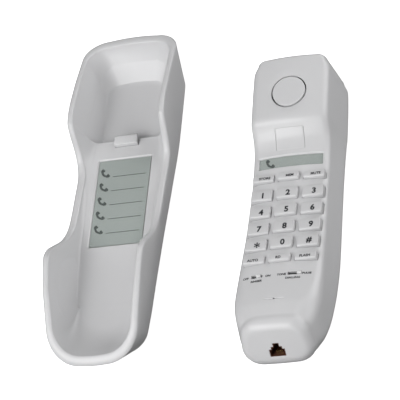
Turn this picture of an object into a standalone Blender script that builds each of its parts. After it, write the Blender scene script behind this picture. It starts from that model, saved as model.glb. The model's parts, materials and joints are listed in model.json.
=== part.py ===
"""Slimline wall telephone: a passive wall cradle, and a self-contained handset lying beside it.

All sizes are in millimetres until a mesh is made, and Blender's units are metres. The origin is the
middle of the cradle's flat wall face. +Y runs to the ear ends of both pieces and +Z away from the wall.
"""

import math

import bmesh
import bpy
from mathutils import Matrix, Vector

MM = 0.001
GAP = 0.35  # clearance between neighbouring pieces
WALL = 2.2  # moulded wall thickness

# The cradle, as curves of Y.
RIM_HEIGHT = [
    (113, 20.5), (92, 26), (70, 31), (52, 33.5), (45, 32.6), (40, 28), (33, 18.5), (27, 13.6), (20, 12.1),
    (5, 13.4), (-13, 15.2), (-22, 17.4), (-31, 22), (-40, 30.6), (-47, 37), (-54, 39.8), (-66, 38),
    (-82, 34.2), (-93, 29.8), (-104, 24.6), (-116, 18.5),
]
RIM_OUTER_HALF = [(113, 30.3), (46, 30.7), (30, 29.7), (14, 28.5), (-18, 28.4), (-32, 29.2), (-44, 30.8),
                  (-64, 29.9), (-84, 29), (-116, 27.6)]
RIM_INNER_HALF = [(108, 26.6), (80, 27), (46, 27), (32, 25.6), (18, 23.6), (-18, 23.6), (-34, 25.4),
                  (-48, 26.6), (-68, 25.9), (-86, 25), (-110, 23.4)]
BASE_HALF = [(97, 29.4), (46, 29.6), (12, 28), (-21, 26), (-58, 24.2), (-97, 22.8)]
FLOOR_HALF = [(86, 17.6), (47, 17.8), (40, 19.6), (-22, 20.8), (-52, 19.4), (-84, 15.4)]
RIM_ENDS = (113.4, -114.4)
RIM_INNER_ENDS = (106.6, -109.2)
BASE_ENDS = (98.5, -98.5)
FLOOR_ENDS = (85.6, -85)
SPINE_HALF = 70  # how far the cradle's long axis runs each way before its ends round off
LABEL_FLOOR = 10.0
POCKET_FLOOR = 4.5
FLOOR_THICK = 3.2
STEP_Y = (45.4, 43.4)  # the pocket's lower end, at the pocket floor and at the label floor
LIP_ROUND = 1.5
END_BOW = 0.0055  # how far the ends bulge, per square millimetre
RIM_CORNERS = (15, 20)  # corner radii of the outlines at the ear end and the mouth end
RIM_INNER_CORNERS = (12, 17)
BASE_CORNERS = (12, 14)
FLOOR_CORNERS = (6, 8)
SIDE_STATIONS = (78, 62, 52, 47, STEP_Y[0], STEP_Y[1], 40, 36, 32, 28, 23, 15, 2, -12, -20, -26, -32, -38,
                 -43, -48, -54, -62, -72)

# The back plate and what holds it.
PLATE_THICK = 2.0
PLATE_MARGIN = 3.0  # from the shell's outer foot to the plate's edge
KEYHOLE_PITCH = 85.7  # the stud spacing of a standard telephone wall plate
KEYHOLE_TOP_Y = 33.0
KEYHOLE_HEAD = 9.6
KEYHOLE_NECK = 5.6
SCREW_PLACES = ((-14, 12), (14, 12), (-13, -70), (13, -70))
FOOT_PLACES = ((-20, 82), (20, 82), (-15, -84), (15, -84))
FOOT_RADIUS = 4.5
FOOT_PROUD = 0.8

# The index card in the cradle's floor.
CARD_SIZE = (32.7, 60.0)
CARD_THICK = 0.4
CARD_WINDOW_THICK = 0.8

# The tab that the handset hangs on.
TAB_WIDTH = 14.5
TAB_DEPTH = 4.4
TAB_RISE = 3.4

# The handset. Its rows run from the ear end to the mouth end and hold the front point (y, z), the back
# point (y, z), the half width at the front and the back, and the corner radius at the front and the back.
HANDSET_X = 108.4
HANDSET_ROWS = [
    (66.5, 38.6, 62.0, 5.0, 20.2, 26.2, 4.4, 5.5),
    (61.0, 38.4, 57.0, 3.6, 22.3, 28.6, 4.6, 6.5),
    (44.0, 37.3, 42.0, 1.8, 22.5, 29.2, 4.6, 7.0),
    (27.8, 36.2, 28.0, 0.8, 22.4, 29.3, 4.4, 7.0),
    (25.6, 35.2, 26.5, 0.7, 22.3, 29.3, 4.2, 7.0),
    (22.6, 32.0, 24.0, 0.6, 22.2, 29.3, 4.2, 7.0),
    (17.0, 28.2, 18.0, 0.3, 22.1, 29.3, 4.4, 7.0),
    (9.5, 26.0, 10.0, 0.1, 22.0, 29.3, 4.4, 7.0),
    (-4.0, 25.2, -4.0, 0.0, 22.0, 29.3, 4.4, 7.0),
    (-36.0, 26.6, -36.0, 0.0, 22.7, 29.3, 4.4, 7.0),
    (-56.0, 29.0, -56.0, 0.3, 23.4, 29.2, 4.6, 7.0),
    (-74.0, 32.0, -75.0, 1.4, 24.2, 28.5, 5.5, 7.5),
    (-88.0, 35.2, -93.0, 3.8, 24.6, 27.2, 7.8, 8.5),
    (-96.0, 36.7, -106.0, 6.6, 22.9, 25.6, 9.8, 9.5),
    (-103.5, 37.0, -117.5, 10.8, 18.9, 22.3, 10.6, 11.0),
]
EAR_END_ROUND = 3.4
MOUTH_END_ROUND = 6.5
ROW_SPACING = 9  # the most between the rings of the covers
FRONT_CROWN = 0.875 / 15**2  # fall of the front across its width, per square millimetre
BACK_CROWN = 1.3 / 28**2
PARTING_RISE = 7.5  # the seam between the covers, above the back

# The keypad, on a board that leans with the front.
PITCH_X = 15.0
PITCH_Y = 11.58
KEYPAD_Y = -35.8  # halfway between the second and third digit rows
KEYPAD_Z = 26.6
KEYPAD_LEAN = math.radians(4.6)
KEY_SIZE = (12.6, 7.3)
FUNCTION_KEY_SIZE = (12.6, 4.5)
KEY_PROUD = 2.1
KEY_SEAT = -4.6  # how far a keycap reaches down at full width, from the keypad's plane
KEY_FOOT = -5.6  # the underside of its flange, which keeps it in the cover
KEY_TRAVEL = 1.2
FLANGE = 0.8
FLANGE_NARROWING = 1.7  # the flange is narrower than the cap, to clear the cover's sides
FUNCTION_ROWS = (28.9, -28.3)  # along the board from the keypad's middle
DIGIT_ROWS = tuple((1.5 - row) * PITCH_Y for row in range(4))
DIGIT_NAMES = (("1", "2", "3"), ("4", "5", "6"), ("7", "8", "9"), ("star", "0", "hash"))
FUNCTION_NAMES = (("store", "memory", "mute"), ("auto", "redial", "flash"))
MAT_TOP = -7.1  # the rubber mat's upper face, from the keypad's plane
MAT_THICK = 1.2
MAT_SIZE = (40.5, 64.0)
BOARD_TOP = -8.7
BOARD_THICK = 1.6
BOARD_SIZE = (36.0, 94.5)
BOARD_SHIFT = 6.7  # of its middle, toward the ear

# The ear piece.
EAR_Y = 44.6
EAR_LEAN = math.radians(3.8)
EAR_CAP_RADIUS = 10.1
EAR_DISH_RADIUS = 14.5
EAR_DISH_DEPTH = 0.7
EAR_CAP_FOOT = -3.4  # heights from the ear's face
GASKET = (12.4, 9.2, -5.2, -3.8)  # outer and inner radius, low and high
CAPSULE_LEVELS = ((9.5, -13.0), (9.5, -9.5), (13.0, -9.5), (13.0, -5.6))  # radius and height

# The number card, the hook key, the slide switches, the mouthpiece and the jack.
NUMBER_WINDOW = (37.8, 7.0)
NUMBER_Y = 4.5
HOOK_KEY_WIDTH = 16.8
HOOK_KEY_Y = (11.6, 22.8)
SWITCH_Y = -74.8
RINGER_SLOT = (-12.2, 6.6)  # middle and width
DIAL_SLOT = (9.4, 8.0)
SLOT_DEPTH = 2.2
KNOB_WIDTH = 2.2
RINGER_KNOB_X = -11.3
DIAL_KNOB_X = 12.0
MIC_Y = -92.5
MIC_CAPSULE = (4.8, -7.6, -2.6)  # radius, low and high, from the inside of the cover
MIC_BOOT = (6.6, 5.1, -8.0, -2.0)  # outer and inner radius, low and high
JACK_SILL = 7.4  # up the end face from its lower edge
JACK_STEPS = ((4.4, 4.6), (3.1, 6.2), (1.75, 8.4))  # half width up to each height, from the jack's sill
JACK_BLOCK = ((-5.9, 2.6, -1.7), (5.9, 15.0, 10.0))  # opposite corners, from the middle of the sill
JACK_BORE = 13.2
CONTACT_BAR = ((-2.3, 11.8, 0.6), (2.3, 12.6, 1.4))
CONTACT_WIRE = ((-0.2, 4.0, 0.8), (0.2, 12.2, 1.2))
CONTACT_PITCH = 1.02
HOOK_PLATE_THICK = 2.6
HOOK_STEM = ((-2, 15.5, 23.2), (2, 19.5, 27.5))
HOOK_SWITCH_BODY = ((-6.0, 13.0, 15.2), (6.0, 19.6, 20.9))
SLIDE_BODY = (1.6, 2.9, -7.5, -5.0)  # its width past the slot's, half its depth, low and high
BUZZER_Y = -52
BUZZER = (13.0, 3.2, 6.8)  # radius, low and high

# Fasteners.
SCREW_HEAD = 0.9
SCREW_HEAD_RADIUS = 2.7
SCREW_SHANK_RADIUS = 0.95
CASE_SCREW_RADII = (2.8, 1.0)
CASE_SCREW_LENGTH = 9
CASE_SCREWS = ((-15, 56, 36.6), (15, 56, 36.6), (-1.5, -81.5, 32.6))  # x, y and the boss's upper end
BOSS_FOOT = 14.0
BOSS_RADIUS = 3.2
BOSS_BORE = 1.3
HEAD_WELL = 3.2  # the radius of the recess for a screw's head
SHANK_HOLE = 1.6
BOSS_RING = 4.4  # the rear cover's ring under each boss


def smooth(points):
    """A curve through the points that never overshoots them (Fritsch and Carlson's monotone cubic)."""
    points = sorted(points)
    xs = [x for x, _ in points]
    ys = [y for _, y in points]
    runs = [b - a for a, b in zip(xs, xs[1:])]
    slopes = [(b - a) / run for a, b, run in zip(ys, ys[1:], runs)]
    tangents = [slopes[0]]
    for before, after in zip(slopes, slopes[1:]):
        tangents.append(0.0 if before * after <= 0 else 2 * before * after / (before + after))
    tangents.append(slopes[-1])

    def value(x):
        x = min(max(x, xs[0]), xs[-1])
        i = max(k for k in range(len(runs)) if xs[k] <= x)
        t = (x - xs[i]) / runs[i]
        rise = ys[i] * (1 + 2 * t) * (1 - t) ** 2 + ys[i + 1] * t * t * (3 - 2 * t)
        return rise + runs[i] * (tangents[i] * t * (1 - t) ** 2 - tangents[i + 1] * t * t * (1 - t))

    return value


def clear_scene():
    for thing in list(bpy.data.objects):
        bpy.data.objects.remove(thing, do_unlink=True)


def collection(name):
    made = bpy.data.collections.new(name)
    bpy.context.scene.collection.children.link(made)
    return made


def material(name, colour, roughness, metallic=0.0, transmission=0.0):
    made = bpy.data.materials.new(name)
    made.use_nodes = True
    shader = made.node_tree.nodes["Principled BSDF"]
    shader.inputs["Base Color"].default_value = (*colour, 1.0)
    shader.inputs["Roughness"].default_value = roughness
    shader.inputs["Metallic"].default_value = metallic
    shader.inputs["Transmission Weight"].default_value = transmission
    return made


def put(name, shape, finish, place=(0, 0, 0), lean=0.0, parent=None):
    """An object from a bmesh in millimetres, turned about X by lean, in its own collection."""
    mesh = bpy.data.meshes.new(name)
    bmesh.ops.scale(shape, vec=(MM, MM, MM), verts=shape.verts)
    bmesh.ops.recalc_face_normals(shape, faces=shape.faces)
    shape.to_mesh(mesh)
    shape.free()
    made = bpy.data.objects.new(name, mesh)
    made.location = Vector(place) * MM
    made.rotation_euler = (lean, 0, 0)
    made.parent = parent
    if finish is None:
        CUTTERS.objects.link(made)
        made.hide_render = True
        made.display_type = "WIRE"
    else:
        PARTS.objects.link(made)
        mesh.materials.append(finish)
    return made


def boolean(target, other, operation="DIFFERENCE"):
    modifier = target.modifiers.new(other.name, "BOOLEAN")
    modifier.operation = operation
    modifier.solver = "EXACT"
    modifier.object = other
    return target


def box(low, high):
    shape = bmesh.new()
    size = [b - a for a, b in zip(low, high)]
    middle = [(a + b) / 2 for a, b in zip(low, high)]
    bmesh.ops.create_cube(shape, size=1, matrix=Matrix.Translation(middle) @ Matrix.Diagonal((*size, 1)))
    return shape


def cylinder(radius, low, high, sides=32, top_radius=None):
    """An upright cylinder or cone about Z."""
    shape = bmesh.new()
    bmesh.ops.create_cone(
        shape, cap_ends=True, segments=sides, radius1=radius, depth=high - low,
        radius2=radius if top_radius is None else top_radius,
        matrix=Matrix.Translation((0, 0, (low + high) / 2)),
    )
    return shape


def ring_body(outer, inner, low, high, sides=32):
    """A tube about Z with square ends."""
    return loft([circle(outer, low, sides), circle(outer, high, sides), circle(inner, high, sides),
                 circle(inner, low, sides)], closed=True)


def rectangle(half_x, half_y, height):
    return [(-half_x, -half_y, height), (half_x, -half_y, height), (half_x, half_y, height),
            (-half_x, half_y, height)]


def circle(radius, height, sides):
    turns = [2 * math.pi * k / sides for k in range(sides)]
    return [(radius * math.cos(turn), radius * math.sin(turn), height) for turn in turns]


def loft(rings, closed=False):
    """Quads between rings of equal length. Open lofts are capped, and closed ones join last to first."""
    shape = bmesh.new()
    rows = [[shape.verts.new(point) for point in ring] for ring in rings]
    pairs = list(zip(rows, rows[1:])) + ([(rows[-1], rows[0])] if closed else [])
    for lower, upper in pairs:
        for k in range(len(lower)):
            following = (k + 1) % len(lower)
            shape.faces.new((lower[k], lower[following], upper[following], upper[k]))
    if not closed:
        shape.faces.new(rows[0][::-1])
        shape.faces.new(rows[-1])
    return shape


def prism(outline, low, high, across="z"):
    """An outline of points pushed from low to high, along Z, or along X for an outline in (y, z)."""
    if across == "z":
        return loft([[(a, b, level) for a, b in outline] for level in (low, high)])
    return loft([[(level, a, b) for a, b in outline] for level in (low, high)])


def rounded(corners, radii, steps):
    """The corners of a convex outline, each replaced by an arc of steps pieces."""
    points = []
    for k, corner in enumerate(corners):
        here = Vector(corner)
        back = (Vector(corners[k - 1]) - here).normalized()
        ahead = (Vector(corners[(k + 1) % len(corners)]) - here).normalized()
        half_angle = back.angle(ahead) / 2
        reach = radii[k] / math.tan(half_angle)
        centre = here + (back + ahead).normalized() * radii[k] / math.sin(half_angle)
        start = here + back * reach - centre
        sweep = start.angle_signed(here + ahead * reach - centre)
        for step in range(steps + 1):
            turned = Matrix.Rotation(-sweep * step / steps, 2) @ start
            points.append(tuple(centre + turned))
    return points


# --- the cradle -----------------------------------------------------------------------------------------


def cradle_outline(half_width, ends, corners, end_steps=2, corner_steps=5):
    """The right half of one level of the cradle in (x, y), from the ear end's middle to the mouth's."""
    points = []
    for end, corner, sign in ((ends[0], corners[0], 1), (ends[1], corners[1], -1)):
        flat = half_width(end) - corner
        arc = []
        for step in range(end_steps):
            x = flat * step / end_steps
            arc.append((x, end - sign * END_BOW * x * x))
        base = end - sign * (END_BOW * flat * flat + corner)
        for step in range(corner_steps + 1):
            turn = math.pi / 2 * step / corner_steps
            arc.append((flat + corner * math.sin(turn), base + sign * corner * math.cos(turn)))
        points.append(arc)
    sides = [(half_width(y), y) for y in SIDE_STATIONS]
    return points[0] + sides + points[1][::-1]


def both_sides(half):
    """A closed ring from the right half of an outline, whose first and last points lie on X = 0."""
    return half + [(-x, *rest) for x, *rest in half[-2:0:-1]]


def floor_height(y):
    if y >= STEP_Y[0]:
        return POCKET_FLOOR
    if y <= STEP_Y[1]:
        return LABEL_FLOOR
    share = (STEP_Y[0] - y) / (STEP_Y[0] - STEP_Y[1])
    return POCKET_FLOOR + share * (LABEL_FLOOR - POCKET_FLOOR)


def between(outer, inner, share, lift):
    """A level of the inner wall, share of the way out and lift of the way up from floor to rim."""
    level = []
    for (xo, yo, zo), (xi, yi, zi) in zip(outer, inner):
        level.append((xi + share * (xo - xi), yi + share * (yo - yi), zi + lift * (zo - zi)))
    return level


def cradle_levels():
    """Half outlines with heights, from the shell's inner foot over the rim to the floor's edge."""
    rim = smooth(RIM_HEIGHT)
    rim_outer = cradle_outline(smooth(RIM_OUTER_HALF), RIM_ENDS, RIM_CORNERS)
    rim_inner = cradle_outline(smooth(RIM_INNER_HALF), RIM_INNER_ENDS, RIM_INNER_CORNERS)
    base = cradle_outline(smooth(BASE_HALF), BASE_ENDS, BASE_CORNERS)
    floor = cradle_outline(smooth(FLOOR_HALF), FLOOR_ENDS, FLOOR_CORNERS)

    def raised(outline, drop=0.0):
        return [(x, y, rim(y) - drop) for x, y in outline]

    def mixed(share):
        return [(a + share * (c - a), b + share * (d - b))
                for (a, b), (c, d) in zip(rim_outer, rim_inner)]

    foot = [(x, y, 0.0) for x, y in base]
    bed = [(x, y, floor_height(y)) for x, y in floor]
    inner_edge = raised(rim_inner, LIP_ROUND)
    outside = [raised(rim_outer, LIP_ROUND), raised(mixed(0.12), 0.35), raised(mixed(0.42))]
    inside = [raised(mixed(0.7), 0.15), raised(mixed(0.93), 0.6), inner_edge]
    fillet = [between(inner_edge, bed, 0.5, 0.26), between(inner_edge, bed, 0.25, 0.07), bed]
    return foot, outside + inside + fillet


def inward(outline, distance):
    """An outline on the wall's plane, moved in by about distance, toward the cradle's long axis."""
    moved = []
    for x, y, _ in outline:
        past = max(abs(y) - SPINE_HALF, 0)
        reach = math.hypot(x, past) or 1
        moved.append((x - distance * x / reach, y - math.copysign(distance, y) * past / reach, 0.0))
    return moved


def cradle_shell(finish):
    foot, levels = cradle_levels()
    bed = levels[-1]
    rim = levels[2]
    under_floor = [(x, y, max(z - FLOOR_THICK, PLATE_THICK + GAP)) for x, y, z in bed]
    inner_foot = inward(foot, WALL)
    roof = []
    for (xf, yf, _), (xr, yr, zr) in zip(inner_foot, rim):
        height = max(zr - 6.0, 6.0)
        climb = height / zr
        roof.append((xf + 0.8 * climb * (xr - xf), yf + 0.8 * climb * (yr - yf), height))
    rings = [both_sides(level) for level in [inner_foot, foot] + levels]
    rings += [both_sides(under_floor)] + [both_sides(roof)]
    shape = bmesh.new()
    rows = [[shape.verts.new(point) for point in ring] for ring in rings]
    top_bed = len(levels) + 1
    joined = [(k, k + 1) for k in range(top_bed)] + [(top_bed + 1, top_bed + 2), (top_bed + 2, 0)]
    for low, high in joined:
        for k in range(len(rows[0])):
            following = (k + 1) % len(rows[0])
            shape.faces.new((rows[low][k], rows[low][following], rows[high][following], rows[high][k]))
    for row in (rows[top_bed], rows[top_bed + 1]):
        zip_across(shape, row)
    shell = put("cradle_shell", shape, finish)
    boolean(shell, put("cut_card", card_pocket(), None))
    boolean(shell, put("cut_tab", tab_slot(), None))
    for k, (x, y) in enumerate(SCREW_PLACES):
        boss = cylinder(BOSS_RADIUS, PLATE_THICK + GAP, LABEL_FLOOR - 1.6, 16)
        boolean(shell, put(f"boss_{k + 1}", boss, None, (x, y, 0)), "UNION")
        bore = cylinder(1.25, 0, LABEL_FLOOR - 2.6, 12)
        boolean(shell, put(f"cut_bore_{k + 1}", bore, None, (x, y, 0)))
    return shell


def zip_across(shape, row):
    """Faces from side to side over a symmetric ring, so that each runs straight along X."""
    half = len(row) // 2
    for k in range(half):
        left, left_next = row[-k] if k else row[0], row[-k - 1]
        right, right_next = row[k], row[k + 1]
        corners = [right, right_next, left_next, left]
        shape.faces.new([v for i, v in enumerate(corners) if v is not corners[i - 1]])


def card_pocket():
    width, length = CARD_SIZE
    return box((-width / 2 - GAP, -length / 2 - GAP, LABEL_FLOOR - CARD_THICK - CARD_WINDOW_THICK - GAP),
               (width / 2 + GAP, length / 2 + GAP, LABEL_FLOOR + 5))


def card_pieces(paper, clear):
    width, length = CARD_SIZE
    low = LABEL_FLOOR - CARD_THICK - CARD_WINDOW_THICK
    put("index_card", box((-width / 2, -length / 2, low), (width / 2, length / 2, low + CARD_THICK)), paper)
    low += CARD_THICK + 0.15
    put("index_card_window", box((-width / 2, -length / 2, low), (width / 2, length / 2, LABEL_FLOOR)), clear)


def tab_slot():
    half = TAB_WIDTH / 2 + GAP
    return box((-half, STEP_Y[1] - TAB_DEPTH - GAP, POCKET_FLOOR + 1.0), (half, STEP_Y[1] - 1.2, 30))


def hang_tab(finish):
    """A tab that stands up from its slot, with a lip over the pocket for the handset to hang on."""
    half = TAB_WIDTH / 2
    back, front = STEP_Y[1] - TAB_DEPTH, STEP_Y[1] - 1.2 - GAP
    low, top = POCKET_FLOOR + 1.0 + GAP, LABEL_FLOOR + TAB_RISE
    outline = [(back, low), (front, low), (front, LABEL_FLOOR + GAP), (STEP_Y[0] + 0.4, LABEL_FLOOR + 0.9),
               (STEP_Y[0] + 0.6, LABEL_FLOOR + 1.9), (STEP_Y[0] - 1.0, top), (back, top - 0.6)]
    return put("hang_tab", prism(outline, -half, half, across="x"), finish)


def keyhole(y):
    """A cutter for one keyhole: a round entry with a narrower slot above it, as it hangs on the wall."""
    head = cylinder(KEYHOLE_HEAD / 2, -1, PLATE_THICK + 1, 20)
    slot = box((-KEYHOLE_NECK / 2, 0, -1), (KEYHOLE_NECK / 2, KEYHOLE_HEAD, PLATE_THICK + 1))
    name = f"cut_keyhole_{y:.0f}"
    entry = put(name, head, None, (0, y, 0))
    return boolean(entry, put(name + "_slot", slot, None, (0, y, 0)), "UNION")


def back_plate(finish):
    foot, _ = cradle_levels()
    outline = both_sides(inward(foot, PLATE_MARGIN))
    plate = put("cradle_back_plate", prism([(x, y) for x, y, _ in outline], 0, PLATE_THICK), finish)
    for y in (KEYHOLE_TOP_Y, KEYHOLE_TOP_Y - KEYHOLE_PITCH):
        boolean(plate, keyhole(y))
    for k, (x, y) in enumerate(SCREW_PLACES):
        boolean(plate, put(f"cut_head_{k + 1}", cylinder(3.1, -1, 1.1, 16), None, (x, y, 0)))
        boolean(plate, put(f"cut_shank_{k + 1}", cylinder(SHANK_HOLE, 0, 3, 12), None, (x, y, 0)))
    for k, (x, y) in enumerate(FOOT_PLACES):
        recess = cylinder(FOOT_RADIUS + GAP, -1, 0.8, 24)
        boolean(plate, put(f"cut_foot_{k + 1}", recess, None, (x, y, 0)))
    return plate


def screw(name, finish, place, head_radius, shank_radius, length, parent=None):
    """A pan-head screw whose head sits at place and whose shank runs up from it."""
    profile = [(head_radius * 0.8, 0), (head_radius, SCREW_HEAD * 0.45), (head_radius, SCREW_HEAD),
               (shank_radius, SCREW_HEAD), (shank_radius, length - 0.6), (0.4, length)]
    rings = [circle(radius, height, 12) for radius, height in profile]
    return put(name, loft(rings), finish, place, parent=parent)


def cradle(finishes):
    cradle_shell(finishes["housing"])
    back_plate(finishes["back_plate"])
    card_pieces(finishes["card"], finishes["window"])
    hang_tab(finishes["housing"])
    for k, (x, y) in enumerate(SCREW_PLACES):
        screw(f"cradle_screw_{k + 1}", finishes["steel"], (x, y, 0.1), SCREW_HEAD_RADIUS, SCREW_SHANK_RADIUS,
              LABEL_FLOOR - FLOOR_THICK)
    for k, (x, y) in enumerate(FOOT_PLACES):
        pad = cylinder(FOOT_RADIUS - 0.3, -FOOT_PROUD, 0.5, 24, FOOT_RADIUS)
        put(f"rubber_foot_{k + 1}", pad, finishes["rubber"], (x, y, 0))


# --- the handset's covers -------------------------------------------------------------------------------


def handset_curves():
    """One curve of the distance from the ear end for each column of the handset's rows."""
    along = [-(row[0] + row[2]) / 2 for row in HANDSET_ROWS]
    return along, [smooth(list(zip(along, column))) for column in zip(*HANDSET_ROWS)]


def section(row, wall=0.0, shrink=0.0, arc_steps=3, front_steps=6, side_steps=2):
    """A closed ring across the handset: a rounded trapezoid with a crowned front and back."""
    front_y, front_z, back_y, back_z, front_half, back_half, front_round, back_round = row
    inset = wall + shrink
    front, back = Vector((front_y, front_z)), Vector((back_y, back_z))
    axis = (front - back).normalized()
    front, back = front - axis * inset, back + axis * inset
    tall = (front - back).length
    front_half, back_half = front_half - inset, back_half - inset
    front_round, back_round = max(front_round - inset, 1.0), max(back_round - inset, 1.0)
    corners = [(-front_half, tall), (front_half, tall), (back_half, 0), (-back_half, 0)]
    flat = rounded(corners, (front_round, front_round, back_round, back_round), arc_steps)
    flat = subdivide(flat, arc_steps + 1, (front_steps, side_steps, front_steps, side_steps))
    ring = []
    for x, height in flat:
        share = min(max(height / tall, 0), 1)
        height += BACK_CROWN * x * x * (1 - share) ** 2 - FRONT_CROWN * x * x * share**2
        point = back + axis * height
        ring.append((x, point.x, point.y))
    return ring


def subdivide(points, arc_points, steps):
    """The arcs of a four-cornered outline with the straight after each cut into steps."""
    cut = []
    for corner, count in enumerate(steps):
        arc = points[corner * arc_points:(corner + 1) * arc_points]
        ahead = points[(corner + 1) * arc_points % len(points)]
        cut += arc
        for step in range(1, count):
            share = step / count
            cut.append(tuple(a + share * (b - a) for a, b in zip(arc[-1], ahead)))
    return cut


def end_rings(row, outward, radius, wall, turns=(30, 60, 82)):
    """Rings that round off an end: each moves out along outward as it shrinks."""
    rings = []
    reach = radius - wall
    for turn in turns:
        angle = math.radians(turn)
        shift = Vector(outward) * reach * math.sin(angle)
        moved = list(row)
        moved[0], moved[1] = row[0] + shift.x, row[1] + shift.y
        moved[2], moved[3] = row[2] + shift.x, row[3] + shift.y
        rings.append(section(moved, wall, reach * (1 - math.cos(angle))))
    return rings


def handset_rings(wall=0.0):
    """The rings of the handset's outside, or of its inside at a wall's distance from it."""
    along, curves = handset_curves()
    rows = []
    for start, stop in zip(along, along[1:]):
        count = max(1, round((stop - start) / ROW_SPACING))
        rows += [[curve(start + (stop - start) * k / count) for curve in curves] for k in range(count)]
    rows.append([curve(along[-1]) for curve in curves])
    first, last = rows[0], rows[-1]
    rise = Vector((last[0] - last[2], last[1] - last[3])).normalized()
    mouth_out = (-rise.y, rise.x)
    ear = end_rings(first, (1.0, 0.1), EAR_END_ROUND, wall)[::-1]
    mouth = end_rings(last, mouth_out, MOUTH_END_ROUND, wall)
    return ear + [section(row, wall) for row in rows] + mouth


def front_height(x, y):
    """The handset's front surface above its back plane, at x from its middle."""
    along, curves = handset_curves()
    low, high = along[0], along[-1]
    for _ in range(40):
        middle = (low + high) / 2
        if curves[0](middle) > y:
            low = middle
        else:
            high = middle
    return curves[1](low) - FRONT_CROWN * x * x


def parting_block(above):
    """A cutter with a curved face along the seam, which keeps what is above it or below it."""
    along, curves = handset_curves()
    seam = [(80, curves[3](along[0]) + PARTING_RISE)]
    for place in along:
        seam.append((curves[2](place), curves[3](place) + PARTING_RISE))
    seam.append((-140, curves[3](along[-1]) + PARTING_RISE))
    edge = -30 if above else 80
    shift = 0 if above else 0.3
    outline = [(y, z - shift) for y, z in seam] + [(-140, edge), (80, edge)]
    return prism(outline, -50, 50, across="x")


def keypad_place(x, v, w):
    """A point in the handset's frame from one on the leaning keypad: x across, v along it, w out of it."""
    cos, sin = math.cos(KEYPAD_LEAN), math.sin(KEYPAD_LEAN)
    return x, KEYPAD_Y + v * cos + w * sin, KEYPAD_Z - v * sin + w * cos


def key_layout():
    """(name, x, v, width, depth, top) of each key, v and top measured on the leaning keypad."""
    keys = []
    rows = [(v, names, KEY_SIZE) for v, names in zip(DIGIT_ROWS, DIGIT_NAMES)]
    rows += [(v, names, FUNCTION_KEY_SIZE) for v, names in zip(FUNCTION_ROWS, FUNCTION_NAMES)]
    for v, names, (width, depth) in rows:
        for column, name in zip((-1, 0, 1), names):
            x = column * PITCH_X
            _, y, z = keypad_place(x, v, 0)
            surface = (front_height(x, y) - z) / math.cos(KEYPAD_LEAN)
            keys.append((f"key_{name}", x, v, width, depth, surface + KEY_PROUD))
    return keys


def ear_place():
    return 0, EAR_Y, front_height(0, EAR_Y)


def jack_outline(grow=0.0):
    """The stepped opening of a modular jack in (x, height), from its sill."""
    right = []
    below = -grow
    for half, top in JACK_STEPS:
        right += [(half + grow, below), (half + grow, top + grow)]
        below = top + grow
    return right + [(-x, height) for x, height in right[::-1]]


def jack_frame():
    """The middle of the jack's sill on the end face, and the lean of that face from upright."""
    along, curves = handset_curves()
    row = [curve(along[-1]) for curve in curves]
    rise = Vector((row[0] - row[2], row[1] - row[3])).normalized()
    out = Vector((-rise.y, rise.x)) * MOUTH_END_ROUND
    sill = Vector((row[2], row[3])) + out + rise * JACK_SILL
    return (0, sill.x, sill.y), math.atan2(rise.x, rise.y)


def along_y(outline, front, back):
    """An outline in (x, z) pushed along Y."""
    return loft([[(x, level, z) for x, z in outline] for level in (front, back)])


def front_cover(finish, handset):
    cover = put("handset_front_cover", loft(handset_rings()), finish, parent=handset)
    boolean(cover, put("cut_inside_front", loft(handset_rings(WALL)), None, parent=handset))
    for name, place, low, high in screw_bosses():
        boss = put(f"boss_{name}", cylinder(BOSS_RADIUS, low, high, 16), None, place, parent=handset)
        boolean(cover, boss, "UNION")
        bore = put(f"cut_{name}", cylinder(BOSS_BORE, low - 1, high - 6, 12), None, place, parent=handset)
        boolean(cover, bore)
    boolean(cover, put("cut_below_seam", parting_block(above=True), None, parent=handset))
    for name, x, v, width, depth, _ in key_layout():
        half, deep = width / 2 + GAP, depth / 2 + GAP
        opening = box((-half, -deep, KEY_SEAT - KEY_TRAVEL - GAP), (half, deep, 9))
        place = keypad_place(x, v, 0)
        boolean(cover, put(f"cut_{name}", opening, None, place, -KEYPAD_LEAN, handset))
    cut_ear(cover, handset)
    cut_small_openings(cover, handset)
    return cover


def cut_ear(cover, handset):
    place = ear_place()
    dish = cylinder(EAR_CAP_RADIUS, -EAR_DISH_DEPTH, 0.3, 32, EAR_DISH_RADIUS + 1.2)
    boolean(cover, put("cut_ear_dish", dish, None, place, EAR_LEAN, handset))
    hole = cylinder(EAR_CAP_RADIUS + GAP, -6, 3, 32)
    boolean(cover, put("cut_ear_hole", hole, None, place, EAR_LEAN, handset))


def cut_small_openings(cover, handset):
    width, depth = NUMBER_WINDOW
    top = front_height(0, NUMBER_Y)
    pocket = box((-width / 2 - GAP, -depth / 2 - GAP, -3.3), (width / 2 + GAP, depth / 2 + GAP, 4))
    boolean(cover, put("cut_number_window", pocket, None, (0, NUMBER_Y, top), parent=handset))
    half = HOOK_KEY_WIDTH / 2 + GAP
    opening = box((-half, HOOK_KEY_Y[0] - GAP, 18), (half, HOOK_KEY_Y[1] + GAP, 45))
    boolean(cover, put("cut_hook_key", opening, None, parent=handset))
    for name, (middle, wide) in (("ringer", RINGER_SLOT), ("dial", DIAL_SLOT)):
        slot = box((middle - wide / 2, SWITCH_Y - SLOT_DEPTH / 2, 20),
                   (middle + wide / 2, SWITCH_Y + SLOT_DEPTH / 2, 45))
        boolean(cover, put(f"cut_{name}_slot", slot, None, parent=handset))
    boolean(cover, put("cut_mic_hole", cylinder(0.7, 20, 45, 10), None, (0, MIC_Y, 0), parent=handset))
    place, lean = jack_frame()
    opening = along_y(jack_outline(), -6, 12)
    boolean(cover, put("cut_jack", opening, None, place, -lean, handset))


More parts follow.
